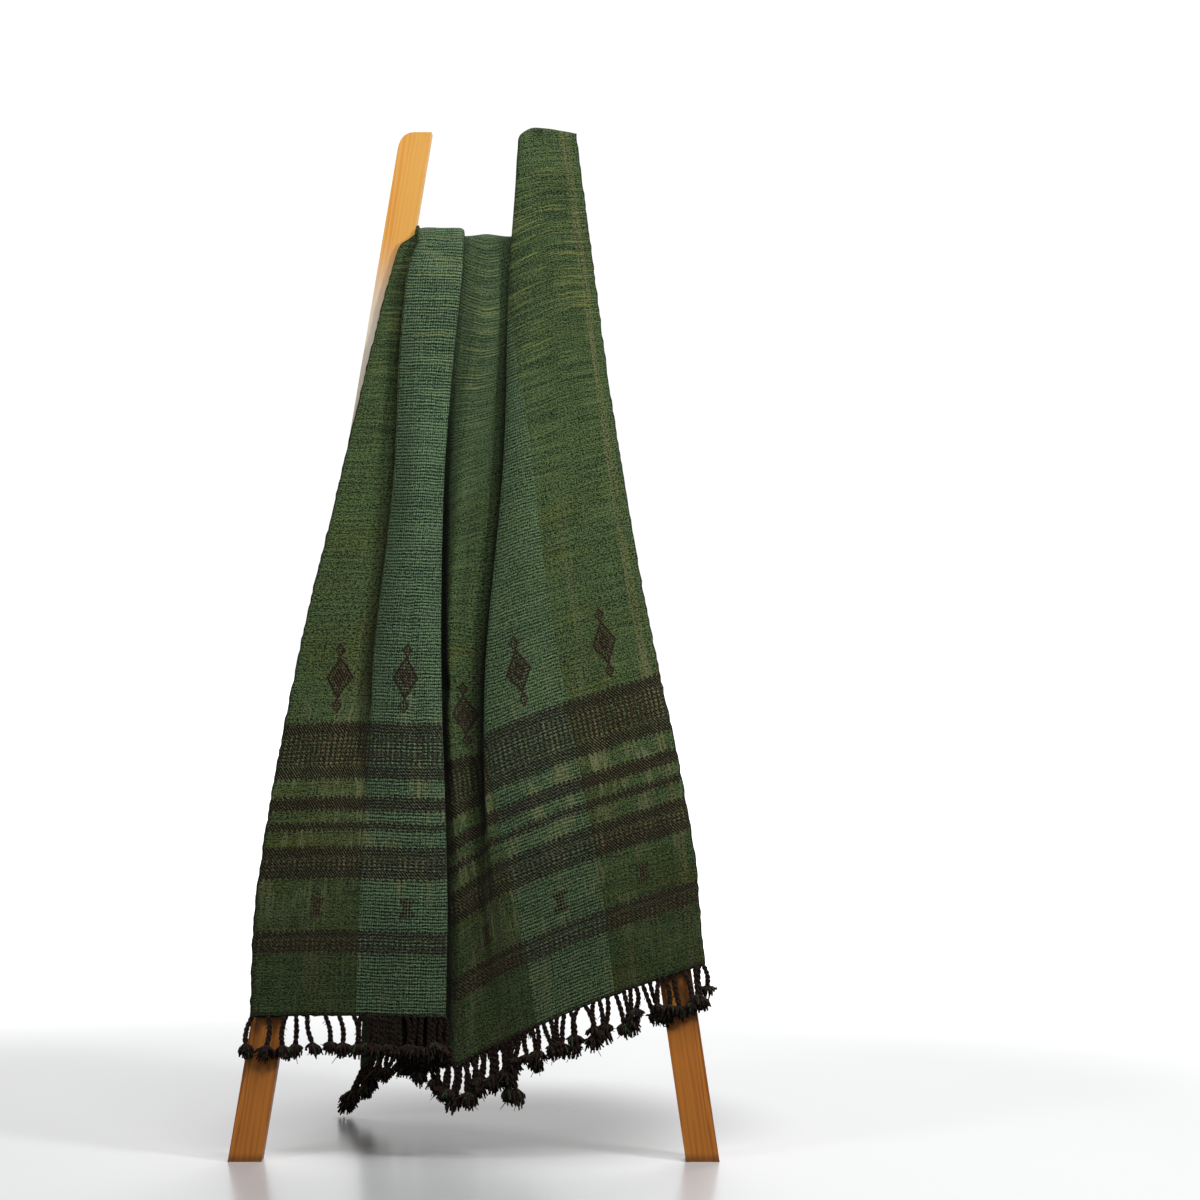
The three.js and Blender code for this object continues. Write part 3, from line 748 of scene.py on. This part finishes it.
class Weave(Recipe):
    """The wool's recipe: places on the flat cloth in millimetres, and its uneven yarn."""

    def __init__(self, name, roughness):
        super().__init__(name, roughness)
        across, along, unused = self.parts("map")
        self.u = self.times(across, 1000)
        self.v = self.times(along, 1000)
        self.from_hem = self.sum("MINIMUM", self.v, self.less(CLOTH_LENGTH, self.v))
        self.drift = self.uneven(0.03, 0.05)
        self.fuzz = self.uneven(0.42, 0.68, rough=0.6)
        self.grain = self.uneven(0.2, 0.4, 4.0, rough=0.6)
        self.patch = self.uneven(0.035, 0.012, 8.0, rough=0.6)
        self.cloud = self.uneven(0.008, 0.02, 2.0, detail=3.0, rough=0.6)
        self.weft = self.uneven(0.014, 0.42, 5.0, rough=0.6)
        self.warp = self.uneven(0.38, 0.009, 6.0, rough=0.6)
        self.fleck = self.uneven(0.7, 0.9, 11.0, detail=1.0)
        knots = self.uneven(0.26, 0.5, 15.0, detail=3.0, rough=0.7)
        self.row = self.add(self.from_hem, self.times(self.drift, 3.0))
        self.side = self.add(self.u, self.times(self.grain, 4.0))
        self.teal = self.either(*[self.between(self.side, *stripe) for stripe in TEAL_STRIPES])
        self.ribs = self.wave(self.add(self.v, self.times(self.drift, 5.0)), 4.3)
        self.slant = self.wave(self.add(self.u, self.times(self.v, 0.8)), 3.7)
        knotty = self.times(knots, self.ease(self.from_hem, 500, 900, 4.2, 2.4))
        self.rough = self.add(self.times(self.fuzz, 3.4), knotty)

    def uneven(self, across, along, layer=0.0, detail=2.0, rough=0.5):
        """Soft noise around 0. across and along say how fast it changes in each direction."""
        place_on_cloth = self.at(self.times(self.u, across), self.times(self.v, along), layer)
        return self.less(self.speckle(place_on_cloth, 1.0, detail, rough), 0.5)

    def dye(self, share, ground, name):
        return self.blend(share, ground, colour(*DYES[name]))

    def yarn(self, light, name):
        """Yarn of one dye, from its dark to its light."""
        return self.dye(light, colour(*DYES[name + "_dark"]), name + "_light")


def worn_streaks(w):
    """Pale lengths along the cloth, near both selvedges and inside the right panel."""
    left = w.times(w.ease(w.u, 56, 80), w.ease(w.u, 128, 104))
    right = w.times(w.ease(w.u, 688, 694), w.ease(w.u, 706, 700))
    inner = w.times(w.times(w.ease(w.u, 606, 612), w.ease(w.u, 626, 618)), w.ease(w.v, 760, 600))
    shares = w.either(w.times(left, 0.45), w.either(right, w.times(inner, 0.35)))
    return w.times(shares, w.ease(w.add(w.rough, w.times(w.warp, 2.0)), -0.4, 0.6))


def stripes(w):
    """The olive ground and the two teal stripes."""
    lines = w.either(w.times(w.weft, w.ease(w.from_hem, 500, 900, 2.0, 3.0)), -0.28)
    woven = w.add(lines, w.times(w.warp, 0.6))
    warps = w.wave(w.add(w.u, w.times(w.drift, 3.0)), 2.9)
    light = w.add(w.times(w.ease(w.ribs, 0.1, 0.9), w.ease(warps, 0.0, 0.9, 0.15, 0.9)),
                  w.add(w.times(w.rough, 0.62), w.times(woven, 0.5)))
    light = w.add(light, w.add(w.times(w.cloud, 0.5), w.times(w.fleck, 1.9)))
    teal = w.yarn(w.ease(light, -0.2, 1.0), "teal")

    fine = w.wave(w.add(w.v, w.times(w.grain, 2.2)), 2.15)
    light = w.add(w.times(fine, 0.2), w.add(0.4, w.times(w.fleck, 3.4)))
    light = w.ease(w.add(light, w.add(w.rough, woven)), -0.15, 1.15)
    mossy = w.add(w.add(w.cloud, w.times(w.weft, 0.5)), w.times(w.grain, 0.6))
    mossy = w.times(w.ease(mossy, -0.05, 0.25), w.ease(w.from_hem, 900, 250, 0.15, 0.8))
    olive = w.blend(mossy, w.yarn(light, "olive"), w.yarn(light, "moss"))
    bluish = w.times(w.times(w.ease(w.u, 290, 340), w.ease(w.u, 446, 420)), w.ease(w.v, 640, 860))
    olive = w.blend(w.times(bluish, 0.45), olive, teal)
    olive = w.dye(w.times(worn_streaks(w), 0.9), olive, "pale_streak_and_glare")
    faded = w.times(w.sum("GREATER_THAN", w.u, 400), 0.34)
    return w.blend(w.teal, olive, w.blend(faded, teal, olive))


def wear_and_painted_shade(w, ground):
    """Pale patches and specks, painted shade that darkens the top and the hems, and single weft
    threads that stand out.
    """
    pale = w.times(w.ease(w.patch, 0.0, 0.08), w.ease(w.from_hem, 470, 300))
    pale = w.times(pale, w.ease(w.from_hem, 40, 210, 0.35, 1.0))
    streaky = w.add(w.times(w.rough, 0.8), w.times(w.warp, 6.0))
    pale = w.times(pale, w.ease(streaky, -0.8, 1.0, 0.05, 1.0))
    ground = w.dye(w.times(pale, 0.9), ground, "patch")
    # Painted shade: darker towards the crest on both falls, less so in the teal stripes.
    top = w.times(w.ease(w.from_hem, 600, 1000, 0.0, 0.24), w.less(1.0, w.times(w.teal, 0.7)))
    ground = w.dye(top, ground, "painted_top_shade")
    specks = w.times(w.ease(w.fleck, 0.11, 0.2), w.ease(w.from_hem, 900, 200, 0.25, 0.8))
    ground = w.dye(w.times(specks, 0.7), ground, "speck")
    # Painted shade: darker towards each hem, as the light falls off downwards, less so in the teal
    # stripes.
    low = w.times(w.ease(w.from_hem, 330, 60, 0.0, 0.46), w.less(1.0, w.times(w.teal, 0.6)))
    ground = w.dye(low, ground, "painted_hem_shade")
    gathered = w.times(w.ease(w.v, 780, 900), w.ease(w.v, 1150, 1030))
    threads = w.ease(w.add(w.times(w.weft, 2.6), w.times(w.fuzz, 0.8)), 0.24, 0.42)
    ground = w.dye(w.times(w.times(threads, gathered), 0.66), ground, "thread")
    cool = w.ease(w.times(w.weft, -1.0), 0.1, 0.24)
    return w.dye(w.times(cool, 0.35), ground, "cool_thread")


def woven_bands(w):
    """How much dark yarn shows in the bands, and how much of their single light lines."""
    spike = w.zigzag(w.add(w.u, w.times(w.grain, 1.5)), TOOTH)
    toothed = w.add(w.row, w.less(w.times(w.times(spike, spike), 6.0), 2.4))
    stops = [(band["start"] / BANDS_END, band["share"], band["slanted"], 0) for band in BANDS]
    share, slanted, unused = w.steps(w.sum("DIVIDE", toothed, BANDS_END), stops)
    stops = [(band["start"] / BANDS_END, band["line"], 0, 0) for band in BANDS]
    line, unused, unused = w.steps(w.sum("DIVIDE", w.row, BANDS_END), stops)
    rows = w.ease(w.wave(w.add(w.row, w.times(w.grain, 2.0)), 5.3), 0.3, 0.8)
    dashes = w.wave(w.add(w.u, w.times(w.grain, 1.5)), TOOTH)
    upright = w.add(w.times(dashes, 0.62), w.times(rows, 0.42))
    hatch = w.add(w.times(upright, w.less(1.0, slanted)), w.times(w.slant, slanted))
    hatch = w.add(hatch, w.times(w.rough, 0.22))
    dark = w.ease(w.less(share, hatch), -0.12, 0.12)
    return dark, w.times(line, w.ease(w.add(w.rough, w.times(spike, 0.8)), -0.2, 0.9, 0.0, 0.6))


def diamonds(w):
    """Tall diamonds with a small one at each tip, filled with a net of dark yarn."""
    up = w.less(w.row, DIAMOND_ROW)
    upright_left = w.times(up, w.ease(w.u, 120, 100, 0.0, 0.2))
    beside = w.size_of(w.from_centre(w.add(w.u, upright_left), *DIAMONDS))
    far = w.size_of(up)
    main = w.add(w.sum("DIVIDE", beside, 16.5), w.sum("DIVIDE", far, 29.5))
    small = w.sum("DIVIDE", w.size_of(w.less(far, 37)), 10.5)
    small = w.add(w.sum("DIVIDE", beside, 6.5), small)
    net = w.sum("LESS_THAN", w.times(w.zigzag(w.u, 3.4), w.zigzag(w.v, 3.8)), 0.27)
    outline = w.either(w.between(main, 0.8, 1.02), w.between(main, 0.16, 0.48))
    filling = w.times(w.between(main, 0.0, 0.9), net)
    tips = w.either(w.between(small, 0.62, 1.02), w.times(w.between(small, 0, 1), net))
    tips = w.times(w.sum("GREATER_THAN", main, 1.0), tips)
    return w.either(w.either(outline, filling), tips)


def hourglasses(w):
    """Small hourglasses of upright strokes."""
    far = w.size_of(w.less(w.row, HOURGLASS_ROW))
    beside = w.size_of(w.from_centre(w.u, *HOURGLASSES))
    inside = w.times(w.sum("LESS_THAN", far, 12.0),
                     w.sum("LESS_THAN", beside, w.add(w.times(far, 0.5), 4.4)))
    return w.times(inside, w.sum("GREATER_THAN", w.wave(beside, 3.6, 0.9), 0.22))


def dark_yarn(w, motif):
    """Dark brown; in the teal stripes its bands let the teal's light ribs through."""
    strokes = w.add(w.times(w.less(w.slant, 0.5), 1.3), w.times(w.fleck, 1.5))
    light = w.ease(w.add(w.times(w.rough, 0.8), strokes), -0.4, 1.4)
    lit_ribs = w.times(w.ease(w.ribs, 0.5, 0.95), w.ease(w.rough, -0.3, 0.7, 0.0, 0.8))
    in_teal = w.yarn(w.either(w.times(light, 0.55), lit_ribs), "brown_in_teal")
    in_stripe = w.times(w.teal, w.less(1.0, w.times(motif, 0.85)))
    return w.blend(in_stripe, w.yarn(light, "brown"), in_teal)


def woven_wool():
    """Olive and teal stripes with dark bands and small motifs near each hem, and painted shade in
    the folds, near the crest and near the hems.
    """
    w = Weave("woven_wool", 0.95)
    dark, light_line = woven_bands(w)
    motif = w.either(diamonds(w), hourglasses(w))
    dark = w.either(dark, w.times(motif, w.sum("GREATER_THAN", w.fuzz, -0.2)))
    shown = w.blend(dark, wear_and_painted_shade(w, stripes(w)), dark_yarn(w, motif))
    shown = w.dye(light_line, shown, "light_line")
    edge = w.either(w.sum("LESS_THAN", w.side, 2.0),
                    w.sum("GREATER_THAN", w.side, CLOTH_WIDTH - 2))
    shown = w.dye(w.times(edge, 0.6), shown, "selvedge")
    shown = w.dye(w.sum("LESS_THAN", w.from_hem, 1.5), shown, "hem")
    # Painted shade: the wool is coloured darker where the folds beside it close it off from the
    # room. It is half as strong from the top of the front fall over the back, and weaker left of
    # the tuck.
    deep = w.ease(w.kept("open_to_room"), 0.985, 0.64, 0.0, 0.9)
    shallow = w.times(w.ease(w.v, 1000, 700, 0.5, 1.0), w.ease(w.u, 118, 150, 0.6, 1.0))
    shown = w.dye(w.times(deep, shallow), shown, "painted_fold_shade")

    height = w.add(w.times(w.ribs, w.add(w.times(w.teal, 0.6), 0.15)), w.times(w.rough, 0.4))
    w.raise_by(w.add(height, w.times(dark, 0.3)), 0.0016)
    w.shader.inputs["Sheen Weight"].default_value = 0.06
    w.shader.inputs["Sheen Roughness"].default_value = 0.6
    w.shader.inputs["Specular IOR Level"].default_value = 0.08
    return w.finish(shown)


def yarn(name, dark, light):
    w = Recipe(name, 0.95)
    x, y, z = w.parts("space")
    fuzz = w.speckle(w.at(x, y, z), 420, 3.0, 0.7)
    w.raise_by(fuzz, 0.0008, 0.8)
    w.shader.inputs["Sheen Weight"].default_value = 0.05
    w.shader.inputs["Specular IOR Level"].default_value = 0.08
    return w.finish(w.blend(w.ease(fuzz, 0.35, 0.7), dark, light))


def varnished_pine():
    """Streaks along the rails, with painted light that makes them paler towards the top."""
    w = Recipe("varnished_pine", 0.5)
    x, y, z = w.parts("space")
    beside = w.add(w.size_of(x), w.less(w.times(z, RAIL_SPREAD), RAIL_FOOT * MM))
    behind = w.less(w.less(y, FEET_FRONT), w.times(z, LEAN))
    space = w.at(w.times(beside, 60), w.times(behind, 60), w.times(z, 2.2))
    broad = w.speckle(space, 1.0, 3.0, 0.55)
    thin = w.speckle(w.at(w.times(beside, 420), w.times(behind, 420), w.times(z, 5)), 1.0, 2.0)
    rings = w.wave(w.add(w.times(beside, 1000), w.times(broad, 30)), 7.0)
    # Painted light: both tones of the wood grow paler towards the top, as the light falls off
    # downwards.
    height = w.ease(z, 0.05, 1.2)
    pale = w.blend(height, colour(222, 136, 44), colour(255, 190, 90))
    deep = w.blend(height, colour(168, 86, 22), colour(250, 162, 62))
    base = w.blend(w.times(w.ease(rings, 0.3, 0.9), w.ease(broad, 0.3, 0.7)), pale, deep)
    base = w.blend(w.times(w.ease(thin, 0.55, 0.75), 0.4), base, deep)
    # Painted highlight: a cream glare on the front face of the left rail's upper part.
    pale_streak_and_glare = w.times(w.times(w.ease(z, 1.2, 1.06), w.ease(z, 0.78, 0.9)), w.ease(x, -0.1, -0.12))
    pale_streak_and_glare = w.times(pale_streak_and_glare, w.ease(behind, 0.004, 0.001))
    base = w.blend(w.times(pale_streak_and_glare, 0.96), base, colour(255, 242, 220))
    foot = w.times(w.ease(z, 0.012, 0.002), w.ease(broad, 0.3, 0.6, 0.4, 0.75))
    base = w.blend(foot, base, colour(70, 40, 20))
    w.shader.inputs["Specular IOR Level"].default_value = 0.25
    w.shader.inputs["Coat Weight"].default_value = 0.1
    w.shader.inputs["Coat Roughness"].default_value = 0.3
    w.raise_by(thin, 0.0002, 0.4)
    return w.finish(base)


# Tassels of the front hem that hang apart, by distance across the cloth; lean is the drift to
# the right over the tassel's length, in millimetres.
FRONT_TASSELS = rows_under(
    "across  length  lean",
    (     3,     57,   -9),
    (    22,     58,   -2),
    (    42,     59,   -5),
    (    55,     57,   -1),
    (    70,     58,    8),
    (    93,     52,    8),
    (   110,     56,    6),
    (   128,     55,    6),
    (   656,     54,    8),
    (   668,     60,    9),
    (   684,     58,   12),
    (   424,     88,    3),
    (   434,     96,    4),
    (   700,     52,    4),
    (   706,     58,    2),
    (   712,     40,    7),
)

# Rows of tassels: from and to across the cloth, how far apart, and their spread of length and
# lean.
FRONT_ROWS = rows_under(
    "start  end  pitch  short  long  left  right",
    (  137, 300,   8.5,    50,   58,   -4,     4),
    (  304, 350,   7.0,    50,   60,   -4,     6),
    (  352, 432,   5.2,    46,   66,   -8,    12),
    (  436, 648,  10.5,    42,   62,   -6,    16),
)
BACK_ROWS = rows_under(
    "start  end  pitch  short  long  left  right",
    (    2,  34,   5.5,    61,   69,  -30,   -12),
    (   36,  80,   9.0,    48,   56,  -18,    -6),
    (   88, 712,  12.0,    39,   47,   -6,     5),
)


# A tassel rests on a rail when its yarn is this far or less beside the rail's middle and behind
# its face. Yarn then stays this far off the wood, and everywhere off the floor.
BESIDE_RAIL = 30
BEHIND_FACE = 40
OFF_WOOD = 2.4
OFF_FLOOR = 1.2


def rail_front(x, z):
    """True over a rail, where a tassel rests on the wood."""
    return abs(abs(x) - (RAIL_FOOT - RAIL_SPREAD * z)) < BESIDE_RAIL


def settle(point):
    """Keeps yarn in front of the rails and above the floor."""
    if rail_front(point.x, point.z) and point.y < LEAN * point.z + BEHIND_FACE:
        point.y = min(point.y, LEAN * point.z - OFF_WOOD)
    point.z = max(point.z, OFF_FLOOR)
    return point


def strand(curve, points, widths, kind):
    spline = curve.splines.new("POLY")
    spline.points.add(len(points) - 1)
    for target, point, width in zip(spline.points, points, widths):
        target.co = (*to_frame(settle(point)), 1)
        target.radius = width * MM
    spline.material_index = kind
    spline.use_smooth = True


# A tassel: points along a ply, how far the plies wind off their middle, cut ends in the tuft, the
# turn from each end to the next, their radii from the knot outwards, and the stray fibres.
PLY_POINTS = 15
PLY_OFFSET = 1.5
CUT_ENDS = 36
END_TURN = 2.4
END_RADII = (1.2, 1.4, 1.5, 1.4, 0.9)
STRAYS = 4


def tassel(curve, root, down, lean, length, rng):
    """A twisted two-ply neck and a round bushy tuft of cut ends."""
    side = Vector((1, 0, 0))
    out = side.cross(down).normalized()
    neck = length * rng.uniform(0.60, 0.68)
    kink = rng.uniform(-3.2, 3.2)
    turns = rng.uniform(2.4, 3.0)
    start = rng.uniform(0, 2 * math.pi)

    def middle(distance):
        t = distance / length
        drift = lean * (1 - (1 - min(t, 1)) ** 1.7) + kink * math.sin(5.0 * t)
        return root + down * (distance * (1 - 0.004 * abs(lean))) + side * drift

    for ply in (0, math.pi):
        points = []
        widths = []
        last = PLY_POINTS - 1
        for i in range(PLY_POINTS):
            distance = (neck + 2) * i / last - 2
            angle = start + ply + turns * 2 * math.pi * i / last
            points.append(middle(distance) + side * (PLY_OFFSET * math.cos(angle))
                          + out * (PLY_OFFSET * math.sin(angle)))
            widths.append(mix(2.0, 2.45, i / last))
        strand(curve, points, widths, 0)
    knot = middle(neck)
    heart = middle(neck + (length - neck) * 0.48)
    along = (heart - knot).normalized()
    size = rng.uniform(9.2, 12.6)
    for i in range(CUT_ENDS):
        around = END_TURN * i + rng.uniform(-0.5, 0.5)
        height = clamp(1 - 1.25 * (i + 0.5) / CUT_ENDS, -1, 1)
        fall = math.acos(height) + rng.uniform(-0.25, 0.25)
        outward = side * math.cos(around) + out * math.sin(around)
        end = heart + (along * math.cos(fall) + outward * math.sin(fall)) * size * rng.uniform(
            0.68, 1.2)
        bend = knot + along * 4.5 + outward * (3.0 + 6.0 * math.sin(fall) * rng.uniform(0.7, 1.1))
        points = []
        for k in range(len(END_RADII)):
            t = k / (len(END_RADII) - 1)
            point = knot * (1 - t) ** 2 + bend * (2 * t * (1 - t)) + end * t * t
            wiggle = Vector((rng.uniform(-1, 1), rng.uniform(-1, 1), rng.uniform(-1, 1)))
            points.append(point + wiggle * 1.3 * t)
        strand(curve, points, END_RADII, 1 if rng.random() < 0.13 else 0)
    for i in range(STRAYS):
        around = rng.uniform(0, 2 * math.pi)
        away = side * math.cos(around) + out * math.sin(around) + along * rng.uniform(-0.6, 0.9)
        first = middle(rng.uniform(4, neck)) if i < 2 else heart
        reach = 5.5 if i < 2 else size + 3.5
        points = [first + away * reach * t + along * (2.5 * t * t) for t in (0, 0.5, 1)]
        strand(curve, points, (0.55, 0.5, 0.35), i % 2)


def build_fringe(name, at, node, places, materials):
    """Every tassel of one hem, joined to one piece."""
    rng = random.Random(31 + at)
    curve = bpy.data.curves.new(name, "CURVE")
    curve.dimensions = "3D"
    curve.bevel_depth = 1
    curve.bevel_resolution = 1
    curve.use_fill_caps = True
    for material in materials:
        curve.materials.append(material)
    line = ClothLine(at)
    for spec in places:
        root = line.at_place(line.place_of(spec["across"]))[0]
        root = root + Vector((0, 0, 0.5))
        slope = Vector((0, -LEAN, -1)).normalized()
        plumb = Vector((0, 0, -1))
        down = slope if at == 0 and rail_front(root.x, root.z - 30) else plumb
        tassel(curve, root, down, spec["lean"], spec["length"], rng)
    rope = bpy.data.objects.new(name + "_line", curve)
    bpy.context.collection.objects.link(rope)
    bpy.context.view_layer.update()
    mesh = bpy.data.meshes.new_from_object(rope)
    bpy.data.objects.remove(rope)
    mesh.name = name
    fringe = bpy.data.objects.new(name, mesh)
    bpy.context.collection.objects.link(fringe)
    for polygon in mesh.polygons:
        polygon.use_smooth = True
    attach(fringe, BODY)
    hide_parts(node)
    return fringe


def rows_of_tassels(rows, seed):
    rng = random.Random(seed)
    places = []
    for row in rows:
        across = row["start"]
        while across < row["end"]:
            places.append(dict(across=across, length=rng.uniform(row["short"], row["long"]),
                               lean=rng.uniform(row["left"], row["right"])))
            across += row["pitch"] * rng.uniform(0.8, 1.2)
    return places


def build_ladder(material):
    for node in ("rail_left", "rail_right", "rung_1", "rung_2", "rung_3", "rung_4"):
        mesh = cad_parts[node].data
        mesh.materials.clear()
        mesh.materials.append(material)


# The photograph's camera: level, in front of the ladder and a little to its right.
CAMERA_PLACE = (0.158, FEET_FRONT - 3.93, 0.7025)
CAMERA_PIXELS = 3144
PICTURE_WIDTH = 1200


def build_camera():
    data = bpy.data.cameras.new("camera")
    data.sensor_width = 36
    data.lens = 36 * CAMERA_PIXELS / PICTURE_WIDTH
    data.dof.use_dof = False
    camera = bpy.data.objects.new("camera", data)
    camera.location = CAMERA_PLACE
    camera.rotation_euler = (math.pi / 2, 0, 0)
    bpy.context.collection.objects.link(camera)
    bpy.context.scene.camera = camera


# Soft boxes. The key light hangs near the top of the throw, so the light falls off downwards.
LIGHTS = rows_under(
    "       name               place              aim  size  power",
    ("key_right", (1.7, -0.95, 1.75), (0.1, 0.0, 0.8),  0.5,    24),
    ( "key_left", (-1.5, -1.2, 1.75), (0.0, 0.0, 0.8),  0.5,     9),
    (    "above",   (0.4, -0.6, 2.9),   (0.2, 0.0, 0),  0.8,    17),
    (   "behind",    (0.3, 2.4, 2.5),   (0.2, 1.6, 0),  2.0,    60),
)
AMBIENT = 0.03
# The floor runs out into white between these distances from the middle, in metres.
FLOOR_FADE = (0.9, 2.6)
ROOM_RADIUS = 25


def build_lights():
    for row in LIGHTS:
        data = bpy.data.lights.new(row["name"], "AREA")
        data.shape = "DISK"
        data.size = row["size"]
        data.energy = row["power"]
        lamp = bpy.data.objects.new(row["name"], data)
        lamp.location = row["place"]
        aim = Vector(row["aim"]) - Vector(row["place"])
        lamp.rotation_euler = aim.to_track_quat("-Z", "Y").to_euler()
        bpy.context.collection.objects.link(lamp)


def build_floor():
    """A pale glossy floor with a painted grey shadow under the ladder, that runs out into white
    away from it.
    """
    w = Recipe("pale_floor", 0.23)
    w.shader.inputs["Specular IOR Level"].default_value = 0.42
    x, y, z = w.parts("space")
    far = w.sum("SQRT", w.add(w.times(x, x), w.times(y, y)))
    beside = w.less(x, 0.03)
    behind = w.less(y, 0.12)
    under = w.sum("SQRT", w.add(w.times(beside, beside), w.times(behind, behind)))
    glow = w.ease(far, *FLOOR_FADE)
    w.put(w.shader.inputs["Emission Strength"], glow)
    w.shader.inputs["Emission Color"].default_value = (1, 1, 1, 1)
    # Painted shadow: the floor's colour is grey under and just behind the ladder, where the throw
    # shades it, and pales out to white around it.
    w.put(w.shader.inputs["Base Color"],
          w.blend(w.ease(under, 0.1, 0.42), colour(112, 109, 108), colour(248, 249, 250)))
    bm = bmesh.new()
    bmesh.ops.create_circle(bm, cap_ends=True, segments=96, radius=ROOM_RADIUS - 0.5)
    floor = new_object("floor", bm, [w.material])
    floor.visible_diffuse = False


def build_room():
    """A white room far off that the camera sees, and a dimmer even light."""
    w = Recipe("white_room", 1)
    w.shader.inputs["Base Color"].default_value = (0, 0, 0, 1)
    w.shader.inputs["Emission Color"].default_value = (1, 1, 1, 1)
    w.shader.inputs["Emission Strength"].default_value = 1.02
    bm = bmesh.new()
    bmesh.ops.create_uvsphere(bm, u_segments=48, v_segments=24, radius=ROOM_RADIUS)
    bmesh.ops.reverse_faces(bm, faces=bm.faces)
    room = new_object("white_room", bm, [w.material])
    room.visible_diffuse = False
    room.visible_shadow = False
    world = bpy.data.worlds.new("even_light")
    bpy.context.scene.world = world
    world.use_nodes = True
    world.node_tree.nodes["Background"].inputs[0].default_value = (1, 1, 1, 1)
    world.node_tree.nodes["Background"].inputs[1].default_value = AMBIENT


wool = woven_wool()
yarns = [yarn("brown_yarn", colour(20, 13, 12), colour(70, 52, 44)),
         yarn("green_yarn", colour(34, 50, 34), colour(72, 88, 58))]
throw = build_throw(wool)
front_places = FRONT_TASSELS + rows_of_tassels(FRONT_ROWS, 7)
back_places = rows_of_tassels(BACK_ROWS, 11)
fringe_front = build_fringe("front_tassels", 0, "fringe_front", front_places, yarns)
fringe_back = build_fringe("back_tassels", 2, "fringe_back", back_places, yarns)
build_ladder(varnished_pine())
build_floor()
build_room()
build_lights()
build_camera()
bpy.context.scene.view_settings.view_transform = "Standard"
